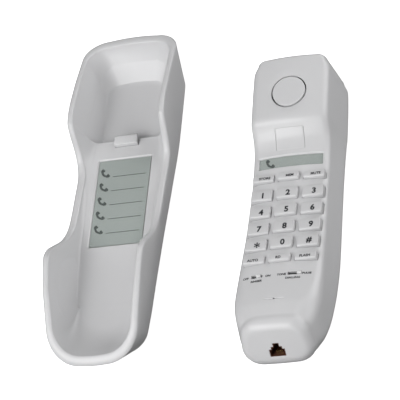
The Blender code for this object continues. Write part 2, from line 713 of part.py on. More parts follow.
def rear_cover(finish, handset):
    cover = put("handset_rear_cover", loft(handset_rings()), finish, parent=handset)
    boolean(cover, put("cut_inside_rear", loft(handset_rings(WALL)), None, parent=handset))
    boolean(cover, put("cut_above_seam", parting_block(above=False), None, parent=handset))
    for name, place, low, _ in screw_bosses():
        well = cylinder(HEAD_WELL, low - 12, low - WALL, 16)
        hole = cylinder(SHANK_HOLE, low - 9, low + 2, 12)
        tube = cylinder(BOSS_RING, low - 9.6, low - GAP, 20)
        boolean(cover, put(f"boss_rear_{name}", tube, None, place, parent=handset), "UNION")
        boolean(cover, put(f"cut_head_{name}", well, None, place, parent=handset))
        boolean(cover, put(f"cut_shank_{name}", hole, None, place, parent=handset))
    return cover


def screw_bosses():
    """(name, place, low, high) of the bosses that run from the front cover down to the rear cover."""
    return [(f"case_screw_{k + 1}", (x, y, 0), BOSS_FOOT, high) for k, (x, y, high) in enumerate(CASE_SCREWS)]


# --- what the handset carries ---------------------------------------------------------------------------


def key_shape(width, depth, top):
    """A keycap with a flange under the cover, about the middle of the keypad's plane."""
    narrow, wide = -FLANGE_NARROWING, FLANGE
    levels = [(narrow, wide, KEY_FOOT), (narrow, wide, KEY_SEAT - 0.2), (narrow, -0.4, KEY_SEAT - 0.2),
              (0, 0, KEY_SEAT + 0.2), (0, 0, top - 0.5), (-0.5, -0.5, top)]
    rings = []
    for grow_x, grow_y, height in levels:
        half, deep = width / 2 + grow_x, depth / 2 + grow_y
        rings.append(rectangle(half, deep, height))
    return loft(rings)


def keys(finish, handset):
    for name, x, v, width, depth, top in key_layout():
        put(name, key_shape(width, depth, top), finish, keypad_place(x, v, 0), -KEYPAD_LEAN, handset)


def keypad_stack(rubber, board, handset):
    """The rubber mat that the keys press, and the board below it."""
    origin = keypad_place(0, 0, 0)
    width, length = MAT_SIZE
    slab = box((-width / 2, -length / 2, MAT_TOP - MAT_THICK), (width / 2, length / 2, MAT_TOP))
    put("keypad_mat", slab, rubber, origin, -KEYPAD_LEAN, handset)
    wide, long = BOARD_SIZE
    slab = box((-wide / 2, BOARD_SHIFT - long / 2, BOARD_TOP - BOARD_THICK),
               (wide / 2, BOARD_SHIFT + long / 2, BOARD_TOP))
    put("main_board", slab, board, origin, -KEYPAD_LEAN, handset)


def ear_pieces(finishes, handset):
    place = ear_place()
    rings = [circle(EAR_CAP_RADIUS, EAR_CAP_FOOT, 32), circle(EAR_CAP_RADIUS, -EAR_DISH_DEPTH - 0.3, 32),
             circle(EAR_CAP_RADIUS - 0.3, -EAR_DISH_DEPTH, 32)]
    put("receiver_cap", loft(rings), finishes["housing"], place, EAR_LEAN, handset)
    put("receiver_gasket", ring_body(*GASKET, 24), finishes["rubber"], place, EAR_LEAN, handset)
    levels = [circle(radius, height, 24) for radius, height in CAPSULE_LEVELS]
    put("receiver_capsule", loft(levels), finishes["capsule"], place, EAR_LEAN, handset)


def number_card(paper, clear, handset):
    width, depth = NUMBER_WINDOW
    top = front_height(0, NUMBER_Y)
    across = [width * (k / 8 - 0.5) for k in range(9)]

    def curved(low, high):
        upper = [(x, high - FRONT_CROWN * x * x) for x in across]
        lower = [(x, low - FRONT_CROWN * x * x) for x in across[::-1]]
        return along_y(upper + lower, -depth / 2, depth / 2)

    place = (0, NUMBER_Y, top)
    put("number_card", curved(-1.5, -1.1), paper, place, parent=handset)
    put("number_window", curved(-0.8, -0.1), clear, place, parent=handset)


def hook_key(finish, handset):
    """The plate in the neck that the cradle's tab presses, with its stem down to the switch."""
    start, stop = HOOK_KEY_Y
    places = [start + (stop - start) * k / 8 for k in range(9)]
    upper = [(y, front_height(HOOK_KEY_WIDTH / 4, y)) for y in places]
    lower = [(y, z - HOOK_PLATE_THICK) for y, z in upper[::-1]]
    half = HOOK_KEY_WIDTH / 2
    key = put("hook_switch_key", prism(upper + lower, -half, half, across="x"), finish, parent=handset)
    stem = put("stem_hook_key", box(*HOOK_STEM), None, parent=handset)
    return boolean(key, stem, "UNION")


def switch_knob(name, middle, finish, handset):
    top = front_height(middle, SWITCH_Y)
    half, deep = KNOB_WIDTH / 2, SLOT_DEPTH / 2 - GAP
    levels = [(0.8, 0.5, -4.6), (0.8, 0.5, -3.2), (0, 0, -3.2), (0, 0, 0.3), (-0.35, -0.2, 0.6)]
    rings = []
    for grow_x, grow_y, height in levels:
        rings.append(rectangle(half + grow_x, deep + grow_y, height))
    put(name, loft(rings), finish, (middle, SWITCH_Y, top), parent=handset)


def switches(finishes, handset):
    extra, deep, low, high = SLIDE_BODY
    slides = (("ringer", RINGER_SLOT, RINGER_KNOB_X), ("dial", DIAL_SLOT, DIAL_KNOB_X))
    for name, (middle, wide), knob in slides:
        top = min(front_height(middle - 5, SWITCH_Y), front_height(middle + 5, SWITCH_Y))
        half = wide / 2 + extra
        body = box((-half, -deep, low), (half, deep, high))
        put(f"{name}_switch_body", body, finishes["dark"], (middle, SWITCH_Y, top), parent=handset)
        switch_knob(f"{name}_switch_knob", knob, finishes["knob"], handset)
    put("hook_switch_body", box(*HOOK_SWITCH_BODY), finishes["dark"], parent=handset)


def mouthpiece(finishes, handset):
    top = front_height(0, MIC_Y) - WALL
    place = (0, MIC_Y, top)
    put("microphone_capsule", cylinder(*MIC_CAPSULE, 24), finishes["capsule"], place, parent=handset)
    put("microphone_boot", ring_body(*MIC_BOOT, 24), finishes["rubber"], place, parent=handset)


def line_jack(finishes, handset):
    """The modular jack block behind the end face, and the four contact wires in it."""
    place, lean = jack_frame()
    block = put("line_jack", box(*JACK_BLOCK), finishes["jack"], place, -lean, handset)
    socket = put("cut_socket", along_y(jack_outline(-0.1), 0, JACK_BORE), None, place, -lean, handset)
    boolean(block, socket)
    contacts = put("jack_contacts", box(*CONTACT_BAR), finishes["contact"], place, -lean, handset)
    (left, *low), (right, *high) = CONTACT_WIRE
    for k in range(4):
        x = (k - 1.5) * CONTACT_PITCH
        wire = box((x + left, *low), (x + right, *high))
        boolean(contacts, put(f"contact_{k + 1}", wire, None, place, -lean, handset), "UNION")


def buzzer(finish, handset):
    put("buzzer", cylinder(*BUZZER, 28), finish, (0, BUZZER_Y, 0), parent=handset)


def handset_parts(finishes):
    handset = bpy.data.objects.new("handset_place", None)
    handset.location = (HANDSET_X * MM, 0, -FOOT_PROUD * MM)
    PARTS.objects.link(handset)
    front_cover(finishes["housing"], handset)
    rear_cover(finishes["housing"], handset)
    keys(finishes["key"], handset)
    keypad_stack(finishes["rubber"], finishes["board"], handset)
    ear_pieces(finishes, handset)
    number_card(finishes["card"], finishes["window"], handset)
    hook_key(finishes["housing"], handset)
    switches(finishes, handset)
    mouthpiece(finishes, handset)
    line_jack(finishes, handset)
    buzzer(finishes["capsule"], handset)
    for name, (x, y, _), low, _ in screw_bosses():
        place = (x, y, low - WALL - 1.2)
        screw(name, finishes["steel"], place, *CASE_SCREW_RADII, CASE_SCREW_LENGTH, handset)


def all_finishes():
    return {
        "housing": material("housing_plastic", (0.72, 0.72, 0.73), 0.38),
        "key": material("key_plastic", (0.76, 0.76, 0.77), 0.4),
        "knob": material("knob_plastic", (0.8, 0.8, 0.8), 0.4),
        "back_plate": material("back_plate_plastic", (0.5, 0.5, 0.51), 0.55),
        "card": material("card_paper", (0.5, 0.57, 0.54), 0.7),
        "window": material("clear_plastic", (0.85, 0.9, 0.88), 0.1, transmission=0.9),
        "rubber": material("grey_rubber", (0.16, 0.16, 0.17), 0.85),
        "board": material("circuit_board", (0.12, 0.26, 0.14), 0.5),
        "capsule": material("capsule_metal", (0.55, 0.55, 0.56), 0.35, 0.8),
        "dark": material("switch_plastic", (0.07, 0.07, 0.08), 0.5),
        "jack": material("jack_plastic", (0.13, 0.07, 0.05), 0.45),
        "contact": material("contact_gold", (0.8, 0.6, 0.25), 0.3, 1.0),
        "steel": material("screw_steel", (0.6, 0.6, 0.6), 0.3, 1.0),
    }


def shade_round():
    for thing in PARTS.objects:
        if thing.type == "MESH":
            thing.data.shade_smooth()
            thing.data.set_sharp_from_angle(angle=math.radians(35))


clear_scene()
PARTS = collection("slimline_wall_phone")
CUTTERS = collection("cutters")
FINISHES = all_finishes()
cradle(FINISHES)
handset_parts(FINISHES)
shade_round()
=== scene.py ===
"""The looks of a slimline wall telephone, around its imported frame.

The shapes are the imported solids' own, drawn again with finer steps, rounded edges and printed legends.
Sizes here are in millimetres until a mesh is made, in the frame's axes: +Y to the ear ends, +Z up.
"""

import json
import math

import bmesh
import bpy
from mathutils import Matrix, Vector
from mathutils.bvhtree import BVHTree


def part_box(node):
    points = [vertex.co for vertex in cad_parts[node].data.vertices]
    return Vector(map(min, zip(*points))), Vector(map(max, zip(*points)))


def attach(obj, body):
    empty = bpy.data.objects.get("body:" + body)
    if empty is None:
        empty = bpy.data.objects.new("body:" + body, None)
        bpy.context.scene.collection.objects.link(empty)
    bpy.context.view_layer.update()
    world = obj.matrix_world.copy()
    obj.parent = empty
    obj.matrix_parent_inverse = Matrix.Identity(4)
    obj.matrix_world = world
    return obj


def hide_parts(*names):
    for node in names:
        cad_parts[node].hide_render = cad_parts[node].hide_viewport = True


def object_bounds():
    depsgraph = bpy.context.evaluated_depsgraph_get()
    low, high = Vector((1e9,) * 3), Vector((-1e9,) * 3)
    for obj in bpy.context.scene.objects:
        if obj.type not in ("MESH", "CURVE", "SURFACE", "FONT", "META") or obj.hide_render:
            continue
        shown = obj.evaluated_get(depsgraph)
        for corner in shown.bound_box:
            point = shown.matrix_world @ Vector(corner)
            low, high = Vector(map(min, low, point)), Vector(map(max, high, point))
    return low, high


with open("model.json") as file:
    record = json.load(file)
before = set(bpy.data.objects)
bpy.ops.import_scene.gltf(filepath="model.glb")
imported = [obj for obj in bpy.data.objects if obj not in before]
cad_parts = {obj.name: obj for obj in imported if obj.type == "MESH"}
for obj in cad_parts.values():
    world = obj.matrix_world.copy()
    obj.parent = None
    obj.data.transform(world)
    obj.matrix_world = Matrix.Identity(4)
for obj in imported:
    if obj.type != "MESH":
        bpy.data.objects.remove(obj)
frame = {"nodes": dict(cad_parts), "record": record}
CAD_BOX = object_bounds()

MM = 0.001
UP = Vector((0, 0, 1))
# The cradle, as curves of Y.
SPINE_HALF = 70  # how far the cradle's long axis runs each way before its ends round off
RIM_HEIGHT = [
    (113, 20.5), (92, 26), (70, 31), (52, 33.5), (45, 32.6), (40, 28), (33, 18.5), (27, 13.6), (20, 12.1),
    (5, 13.4), (-13, 15.2), (-22, 17.4), (-31, 22), (-40, 30.6), (-47, 37), (-54, 39.8), (-66, 38),
    (-82, 34.2), (-93, 29.8), (-104, 24.6), (-116, 18.5),
]
RIM_OUTER_HALF = [(113, 30.3), (46, 30.7), (30, 29.7), (14, 28.5), (-18, 28.4), (-32, 29.2), (-44, 30.8),
                  (-64, 29.9), (-84, 29), (-116, 27.6)]
RIM_INNER_HALF = [(108, 26.6), (80, 27), (46, 27), (32, 25.6), (18, 23.6), (-18, 23.6), (-34, 25.4),
                  (-48, 26.6), (-68, 25.9), (-86, 25), (-110, 23.4)]
BASE_HALF = [(97, 29.4), (46, 29.6), (12, 28), (-21, 26), (-58, 24.2), (-97, 22.8)]
FLOOR_HALF = [(86, 17.6), (47, 17.8), (40, 19.6), (-22, 20.8), (-52, 19.4), (-84, 15.4)]
RIM_ENDS = (113.4, -114.4)
RIM_INNER_ENDS = (106.6, -109.2)
BASE_ENDS = (98.5, -98.5)
FLOOR_ENDS = (85.6, -85)
END_BOW = 0.0055  # how far the ends bulge, per square millimetre
RIM_CORNERS = (15, 20)  # corner radii of the outlines at the ear end and the mouth end
RIM_INNER_CORNERS = (12, 17)
BASE_CORNERS = (12, 14)
FLOOR_CORNERS = (9, 14)
LABEL_FLOOR = 10.0
POCKET_FLOOR = 4.5
FLOOR_THICK = 3.2
STEP_Y = (45.4, 43.4)  # the pocket's lower end, at the pocket floor and at the label floor
STEP_EASE = 0.6  # how much of the step's rise is eased, the rest being straight
SIDE_REACH = (78, -72)  # the stations along the sides
SIDE_SPACING = 1.5
STRAIGHT_HALF = 55  # between these places along the sides, all levels use the same stations
STEP_STATIONS = 8  # over the step in the floor
STATION_CLEAR = 0.4  # no other station is this near to the step's own
LIP_ROUND = 1.5
LIP_EDGE = 0.42  # the share of the lip's width that each rounded edge takes
LIP_STEPS = 6
OUTER_SHARES = (0.25, 0.5, 0.75)  # levels between the rim and the foot
WALL_SHARES = (0.86, 0.72, 0.58, 0.46, 0.35, 0.25, 0.16, 0.08)  # levels between the rim and the floor
ROOF_DROP = 6.0  # the hollow under the rim stops this far below the crest, and is at least this high
ROOF_LEAN = 0.8
WALL = 2.2
GAP = 0.35  # clearance between neighbouring pieces

# The back plate and what holds it.
PLATE_THICK = 2.0
PLATE_MARGIN = 3.0  # from the shell's outer foot to the plate's edge
KEYHOLE_PITCH = 85.7  # the stud spacing of a standard telephone wall plate
KEYHOLE_TOP_Y = 33.0
KEYHOLE_HEAD = 9.6
KEYHOLE_NECK = 5.6
SCREW_PLACES = ((-14, 12), (14, 12), (-13, -70), (13, -70))
SCREW_HEAD = 0.9  # the thickness of every screw's head
SCREW_HEAD_RADIUS = 2.7
SCREW_SHANK_RADIUS = 0.95
SCREW_RECESS = (3.1, 1.1)  # radius and depth
THREAD_PITCH = 0.5
CROSS_HALF = 0.28  # half the width of the recess in a screw's head
FOOT_PLACES = ((-20, 82), (20, 82), (-15, -84), (15, -84))
FOOT_RADIUS = 4.5
FOOT_PROUD = 0.8
FOOT_RECESS = 0.8
SOLE_ROUND = 0.4
SOLE_MARGIN = 0.3  # from the foot's radius to its sole's

# The index card in the cradle's floor.
CARD_SIZE = (32.7, 60.0)
CARD_THICK = 0.4
CARD_WINDOW_THICK = 0.8
CARD_CHAMFER = 0.7
WINDOW_CORNER = 0.5  # of the openings for both card windows
CARD_ROWS = 5
CARD_FIRST_LINE = 18.4
CARD_LINE_PITCH = 9.9
CARD_LINE = (-6.9, 13.8)
CARD_LINE_WIDTH = 0.42
CARD_ICON = (-11.9, 2.9)
CARD_ICON_SIZE = 6.4

# The handset sign, in shares of its own size.
ICON_STEPS = 40
ICON_RADIUS = 0.56  # of the grip
ICON_START = math.radians(150)
ICON_SWEEP = math.radians(145)
ICON_GRIP = 0.45  # the share of the sign between its two bulbs
ICON_HALF_GRIP = 0.1
ICON_BULB = (0.05, 0.17)  # how far the bulbs stand out from the grip and in from it
ICON_MIDDLE = (-0.24, -0.22)

# The tab that the handset hangs on.
TAB_WIDTH = 14.5
TAB_DEPTH = 4.4
TAB_RISE = 3.4
TAB_FOOT = 1.0  # above the pocket's floor
TAB_BACKSET = 1.2  # from the step's upper edge
TAB_ROUND = 0.45
CUTTER_TOP = 30  # above the whole of the tab

# The handset. Its rows run from the ear end to the mouth end and hold the front point (y, z), the back
# point (y, z), the half width at the front and the back, and the corner radius at the front and the back.
HANDSET_ROWS = [
    (66.5, 38.6, 62.0, 5.0, 20.2, 26.2, 4.4, 5.5),
    (61.0, 38.4, 57.0, 3.6, 22.3, 28.6, 4.6, 6.5),
    (44.0, 37.3, 42.0, 1.8, 22.5, 29.2, 4.6, 7.0),
    (27.8, 36.2, 28.0, 0.8, 22.4, 29.3, 4.4, 7.0),
    (25.6, 35.2, 26.5, 0.7, 22.3, 29.3, 4.2, 7.0),
    (22.6, 32.0, 24.0, 0.6, 22.2, 29.3, 4.2, 7.0),
    (17.0, 28.2, 18.0, 0.3, 22.1, 29.3, 4.4, 7.0),
    (9.5, 26.0, 10.0, 0.1, 22.0, 29.3, 4.4, 7.0),
    (-4.0, 25.2, -4.0, 0.0, 22.0, 29.3, 4.4, 7.0),
    (-36.0, 26.6, -36.0, 0.0, 22.7, 29.3, 4.4, 7.0),
    (-56.0, 29.0, -56.0, 0.3, 23.4, 29.2, 4.6, 7.0),
    (-74.0, 32.0, -75.0, 1.4, 24.2, 28.5, 5.5, 7.5),
    (-88.0, 35.2, -93.0, 3.8, 24.6, 27.2, 7.8, 8.5),
    (-96.0, 36.7, -106.0, 6.6, 22.9, 25.6, 9.8, 9.5),
    (-103.5, 37.0, -117.5, 10.8, 18.9, 22.3, 10.6, 11.0),
]
EAR_END_ROUND = 3.4
MOUTH_END_ROUND = 6.5
END_TRIM = math.sin(math.radians(82))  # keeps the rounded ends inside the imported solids' blunter ones
FRONT_CROWN = 0.875 / 15**2  # fall of the front across its width, per square millimetre
BACK_CROWN = 1.3 / 28**2
PARTING_RISE = 7.5  # the seam between the covers, above the back
SEAM_LINE = 0.3  # the visible line along the seam
RAY_START = 60  # a height above every surface of the handset

# The case screws and their bosses.
CASE_SCREWS = ((-15, 56), (15, 56), (-1.5, -81.5))
CASE_SCREW_RADII = (2.8, 1.0)
CASE_SCREW_LENGTH = 9
BOSS_FOOT = 14.0
BOSS_RING = 4.4  # the rear cover's ring under each boss
HEAD_WELL = 3.2  # the radius of the recess for a screw's head
SHANK_HOLE = 1.6
HEAD_SEAT = 1.2  # from the floor of that recess to the screw head's outer face

# The keypad, on a board that leans with the front.
PITCH_X = 15.0
PITCH_Y = 11.58
KEYPAD_Y = -35.8  # halfway between the second and third digit rows
KEYPAD_Z = 26.6
KEYPAD_LEAN = math.radians(4.6)
KEY_SIZE = (12.6, 7.3)
FUNCTION_KEY_SIZE = (12.6, 4.5)
KEY_PROUD = 2.1
KEY_SEAT = -4.6  # how far a keycap reaches down at full width, from the keypad's plane
KEY_FOOT = -5.6  # the underside of its flange, which keeps it in the cover
KEY_GAP = 0.13
FLANGE = 0.8
FLANGE_NARROWING = 1.7  # the flange is narrower than the cap, to clear the cover's sides
FLANGE_EDGE = 0.2
FUNCTION_ROWS = (28.9, -28.3)  # along the board from the keypad's middle
DIGIT_ROWS = tuple((1.5 - row) * PITCH_Y for row in range(4))
DIGIT_NAMES = (("1", "2", "3"), ("4", "5", "6"), ("7", "8", "9"), ("star", "0", "hash"))
FUNCTION_NAMES = (("store", "memory", "mute"), ("auto", "redial", "flash"))
KEY_CORNER = 0.8
LEAST_CORNER = 0.25
KEY_ROUND = 0.5  # how far a keycap's rounded edges run in from its sides
KEY_SLOPE = (0.75, 1.3)  # how much further the lower side slopes in, and the height of all the rounded edges

# The ear piece, the number card, the hook key, the slide switches, the mouthpiece and the jack.
EAR_Y = 44.6
EAR_LEAN = math.radians(3.8)
EAR_CAP_RADIUS = 10.1
EAR_CAP_FOOT = -3.4  # heights from the ear's face
EAR_CAP_PROUD = 0.7  # how far the cap stands above the dish round it
EAR_CAP_ROUND = 0.45
EAR_RING = 0.4  # half the gap round the receiver cap
EAR_DISH_RADIUS = 14.5
EAR_DISH_DEPTH = 0.7
NUMBER_WINDOW = (37.8, 7.0)
NUMBER_Y = 4.5
NUMBER_CHAMFER = 0.65
NUMBER_SEAT = 1.15  # the number card's face, below the cover's
NUMBER_MARGIN = 0.1
NUMBER_THICK = 0.4  # of the window and of the card
NUMBER_ICON_X = -12.2
NUMBER_ICON_SIZE = 6.0
HOOK_KEY_WIDTH = 16.8
HOOK_KEY_Y = (11.6, 22.8)
HOOK_GAP = 0.06  # above and below the hook key
HOOK_SIDE_GAP = 0.16
HOOK_PLATE_THICK = 2.6
HOOK_STEM = ((-2, 15.5, 23.2), (2, 19.5, 27.5))
SWITCH_Y = -74.8
RINGER_SLOT = (-12.2, 6.6)  # middle and width
DIAL_SLOT = (9.4, 8.0)
SLOT_DEPTH = 2.2
KNOB_WIDTH = 2.2
RINGER_KNOB_X = -11.3
DIAL_KNOB_X = 12.0
KNOB_RIDGES = (-0.45, 0, 0.45)
KNOB_GROOVE = 0.12  # half a groove's width
KNOB_LEVELS = ((0.8, 0.5, -4.6), (0.8, 0.5, -3.2), (0, 0, -3.2), (0, 0, 0.35), (-0.12, -0.12, 0.5),
               (-0.3, -0.25, 0.58))  # growth in x and y, and height from the cover
MIC_Y = -92.5
MIC_HOLE_RADIUS = 0.55
MIC_GROOVE = (13.0, 1.5, 0.8)  # length, width and depth
JACK_SILL = 7.4  # up the end face from its lower edge
JACK_STEPS = ((4.4, 4.6), (3.1, 6.2), (1.75, 8.4))  # half width up to each height, from the jack's sill
JACK_BLOCK = ((-5.9, 2.6, -1.7), (5.9, 15.0, 10.0))  # opposite corners, from the middle of the sill
JACK_BORE = 13.2
JACK_FLARE = 0.25  # how far the jack's opening widens to the outside
LINER_THICK = 0.4  # the jack's own lip, seen inside the cover's opening
LINER_GAP = 0.06

# Printing.
INK_THICK = 0.04
LEGENDS = {"star": "*", "hash": "#", "store": "STORE", "memory": "MEM", "mute": "MUTE",
           "auto": "AUTO", "redial": "RD", "flash": "FLASH"}
DIGIT_TEXT = 5.1
DIGIT_BOLD = 0.2  # how far the outlines of the letters are pushed out
STAR_TEXT = 8
STAR_BOLD = 0.13
FUNCTION_TEXT = 2.25
FUNCTION_BOLD = 0.09
DIGIT_SHIFT = (0.8, -0.35)  # how far the printing sits from the middle of a key
UPPER_LEGEND_SHIFT = (1.0, -0.1)
LOWER_LEGEND_SHIFT = (-0.5, -0.2)
SWITCH_TEXT = 1.9
SWITCH_BOLD = 0.08
SWITCH_LEGENDS = [("OFF", -18.6, -75.4), ("ON", -5.6, -75.3), ("RINGER", -11.9, -78.3),
                  ("TONE", 2.2, -75.3), ("PULSE", 16.4, -75.3), ("DIALLING", 8.9, -78.2)]

# Light and camera, in metres and degrees unless they say otherwise.
POLISH = 0.012  # how far the roughness of moulded plastic strays
PLASTIC_IOR = 1.46
CREASE = math.radians(32)  # edges sharper than this are shaded as edges
CAMERA_ANGLES = (30.19, 51.53, 30.93)  # azimuth, elevation and roll
CAMERA_DISTANCE = 1256.31  # millimetres, like the target
CAMERA_TARGET = (54.17, -12.62, 20.0)
CAMERA_LENS = 197.49
CAMERA_SENSOR = 36
MIDDLE = (0.054, 0, 0.02)
FLOOR_SIZE = 8
FLOOR_GLOW = 0.75
FLOOR_CLEAR = 0.0002  # under the lowest piece
WORLD_LOW = 0.14  # the surround's strength below the horizon
WORLD_HIGH = 0.1  # and overhead
WORLD_BAND = (-0.2, 0.7)  # the heights between which it changes
SOFTBOX_DISTANCE = 1.5
SOFTBOXES = [  # name, azimuth, elevation, size and power in watts
    ("key_light", 332, 52, 0.7, 9.0), ("low_key_light", 338, 34, 0.6, 3.6),
    ("left_light", 292, 48, 0.9, 7.5), ("front_light", 0, 22, 0.9, 4.6),
    ("right_light", 90, 22, 0.9, 5.5), ("back_light", 135, 22, 0.9, 11.0),
]


# --- shapes ---------------------------------------------------------------------------------------------


def smooth(points):
    """A curve through the points that never overshoots them (Fritsch and Carlson's monotone cubic)."""
    points = sorted(points)
    xs = [x for x, _ in points]
    ys = [y for _, y in points]
    runs = [b - a for a, b in zip(xs, xs[1:])]
    slopes = [(b - a) / run for a, b, run in zip(ys, ys[1:], runs)]
    tangents = [slopes[0]]
    for before, after in zip(slopes, slopes[1:]):
        tangents.append(0.0 if before * after <= 0 else 2 * before * after / (before + after))
    tangents.append(slopes[-1])

    def value(x):
        x = min(max(x, xs[0]), xs[-1])
        i = max(k for k in range(len(runs)) if xs[k] <= x)
        t = (x - xs[i]) / runs[i]
        rise = ys[i] * (1 + 2 * t) * (1 - t) ** 2 + ys[i + 1] * t * t * (3 - 2 * t)
        return rise + runs[i] * (tangents[i] * t * (1 - t) ** 2 - tangents[i + 1] * t * t * (1 - t))

    return value


def placed(place=(0, 0, 0), lean=0.0):
    """The matrix of a place in the cradle's frame, leaning about X."""
    return Matrix.Translation(place) @ Matrix.Rotation(lean, 4, "X")


def in_handset(place=(0, 0, 0), lean=0.0):
    return HANDSET @ placed(place, lean)


def as_object(name, shape, matrix=None):
    """An object from a bmesh in millimetres."""
    mesh = bpy.data.meshes.new(name)
    if matrix is not None:
        bmesh.ops.transform(shape, matrix=matrix, verts=shape.verts)
    bmesh.ops.scale(shape, vec=(MM, MM, MM), verts=shape.verts)
    bmesh.ops.recalc_face_normals(shape, faces=shape.faces)
    shape.to_mesh(mesh)
    shape.free()
    made = bpy.data.objects.new(name, mesh)
    bpy.context.scene.collection.objects.link(made)
    return made


def settle(thing):
    """Applies an object's modifiers."""
    graph = bpy.context.evaluated_depsgraph_get()
    thing.data = bpy.data.meshes.new_from_object(thing.evaluated_get(graph))
    thing.modifiers.clear()
    return thing


def cut(target, *tools, operation="DIFFERENCE"):
    """Cuts the target by each tool in turn, or joins them, and removes the tools."""
    for tool in tools:
        modifier = target.modifiers.new(tool.name, "BOOLEAN")
        modifier.operation = operation
        modifier.solver = "EXACT"
        modifier.object = tool
    settle(target)
    for tool in tools:
        bpy.data.objects.remove(tool)
    return target


def soften(thing, width, angle=50, segments=2):
    """Rounds an object's edges that are sharper than angle."""
    modifier = thing.modifiers.new("edges", "BEVEL")
    modifier.width = width * MM
    modifier.segments = segments
    modifier.limit_method = "ANGLE"
    modifier.angle_limit = math.radians(angle)
    modifier.use_clamp_overlap = True
    return settle(thing)


def finish(thing, look, body, *nodes, slot=None):
    """Shades a piece, gives it its material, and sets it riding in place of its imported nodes."""
    thing.data.materials.clear()
    thing.data.materials.append(look)
    thing.data.shade_smooth()
    thing.data.set_sharp_from_angle(angle=CREASE)
    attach(thing, body)
    if nodes:
        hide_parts(*nodes)
    return thing


def box(low, high):
    shape = bmesh.new()
    size = [b - a for a, b in zip(low, high)]
    middle = [(a + b) / 2 for a, b in zip(low, high)]
    bmesh.ops.create_cube(shape, size=1, matrix=Matrix.Translation(middle) @ Matrix.Diagonal((*size, 1)))
    return shape


def cylinder(radius, low, high, sides):
    """An upright cylinder about Z."""
    shape = bmesh.new()
    bmesh.ops.create_cone(
        shape, cap_ends=True, segments=sides, radius1=radius, radius2=radius, depth=high - low,
        matrix=Matrix.Translation((0, 0, (low + high) / 2)),
    )
    return shape


def circle(radius, height, sides):
    turns = [2 * math.pi * k / sides for k in range(sides)]
    return [(radius * math.cos(turn), radius * math.sin(turn), height) for turn in turns]


def loft(rings):
    """Quads between rings of equal length, capped at both ends."""
    shape = bmesh.new()
    rows = [[shape.verts.new(point) for point in ring] for ring in rings]
    for lower, upper in zip(rows, rows[1:]):
        for k in range(len(lower)):
            following = (k + 1) % len(lower)
            shape.faces.new((lower[k], lower[following], upper[following], upper[k]))
    shape.faces.new(rows[0][::-1])
    shape.faces.new(rows[-1])
    return shape


def prism(outline, low, high, across="z"):
    """An outline of points pushed from low to high, along Z, or along X for an outline in (y, z)."""
    if across == "z":
        return loft([[(a, b, level) for a, b in outline] for level in (low, high)])
    return loft([[(level, a, b) for a, b in outline] for level in (low, high)])


def rounded(corners, radii, steps):
    """The corners of a convex outline, each replaced by an arc of steps pieces."""
    points = []
    for k, corner in enumerate(corners):
        here = Vector(corner)
        back = (Vector(corners[k - 1]) - here).normalized()
        ahead = (Vector(corners[(k + 1) % len(corners)]) - here).normalized()
        half_angle = back.angle(ahead) / 2
        reach = radii[k] / math.tan(half_angle)
        centre = here + (back + ahead).normalized() * radii[k] / math.sin(half_angle)
        start = here + back * reach - centre
        sweep = start.angle_signed(here + ahead * reach - centre)
        for step in range(steps + 1):
            swung = Matrix.Rotation(-sweep * step / steps, 2) @ start
            points.append(tuple(centre + swung))
    return points


def along_y(outline, front, back):
    """An outline in (x, z) pushed along Y."""
    return loft([[(x, level, z) for x, z in outline] for level in (front, back)])


def both_sides(half):
    """A closed ring from the right half of an outline, whose first and last points lie on X = 0."""
    return half + [(-x, *rest) for x, *rest in half[-2:0:-1]]


def turned(profile, sides=64):
    """A solid of revolution about Z from (radius, height) points, bottom to top."""
    return loft([circle(radius, height, sides) for radius, height in profile])


def rounded_rectangle(half_x, half_y, radius, arc_steps=5, edge_steps=6):
    """A closed outline in (x, y), with each straight cut into edge_steps."""
    corners = [(-half_x, half_y), (half_x, half_y), (half_x, -half_y), (-half_x, -half_y)]
    flat = rounded(corners, [radius] * 4, arc_steps)
    return subdivide(flat, arc_steps + 1, [edge_steps] * 4)


def subdivide(points, arc_points, steps):
    """The arcs of a four-cornered outline with the straight after each cut into steps."""
    divided = []
    for corner, count in enumerate(steps):
        arc = points[corner * arc_points:(corner + 1) * arc_points]
        ahead = points[(corner + 1) * arc_points % len(points)]
        divided += arc
        for step in range(1, count):
            share = step / count
            divided.append(tuple(a + share * (b - a) for a, b in zip(arc[-1], ahead)))
    return divided


def quarter(steps):
    """Turns from 0 to a right angle, in equal steps."""
    return [math.pi / 2 * step / steps for step in range(steps + 1)]


# --- materials ------------------------------------------------------------------------------------------


def shader_of(name, roughness, metallic=0.0, specular=0.5):
    """A new node material, its tree and its Principled shader."""
    made = bpy.data.materials.new(name)
    made.use_nodes = True
    tree = made.node_tree
    shader = tree.nodes["Principled BSDF"]
    shader.inputs["Roughness"].default_value = roughness
    shader.inputs["Metallic"].default_value = metallic
    shader.inputs["Specular IOR Level"].default_value = specular
    shader.inputs["IOR"].default_value = PLASTIC_IOR
    return made, tree, shader


def noise(tree, scale, detail=3.0, stretch=None):
    """A noise texture in the object's own coordinates, in metres, as its factor socket."""
    places = tree.nodes.new("ShaderNodeTexCoord")
    texture = tree.nodes.new("ShaderNodeTexNoise")
    texture.inputs["Scale"].default_value = scale
    texture.inputs["Detail"].default_value = detail
    if stretch:
        mapping = tree.nodes.new("ShaderNodeMapping")
        mapping.inputs["Scale"].default_value = stretch
        tree.links.new(places.outputs["Object"], mapping.inputs["Vector"])
        tree.links.new(mapping.outputs["Vector"], texture.inputs["Vector"])
    else:
        tree.links.new(places.outputs["Object"], texture.inputs["Vector"])
    return texture.outputs["Fac"]


def ramp(tree, factor, low, high):
    """Maps a factor around a half to run from low to high."""
    node = tree.nodes.new("ShaderNodeMapRange")
    node.inputs["From Min"].default_value = 0.3
    node.inputs["From Max"].default_value = 0.7
    node.inputs["To Min"].default_value = low
    node.inputs["To Max"].default_value = high
    tree.links.new(factor, node.inputs["Value"])
    return node.outputs["Result"]


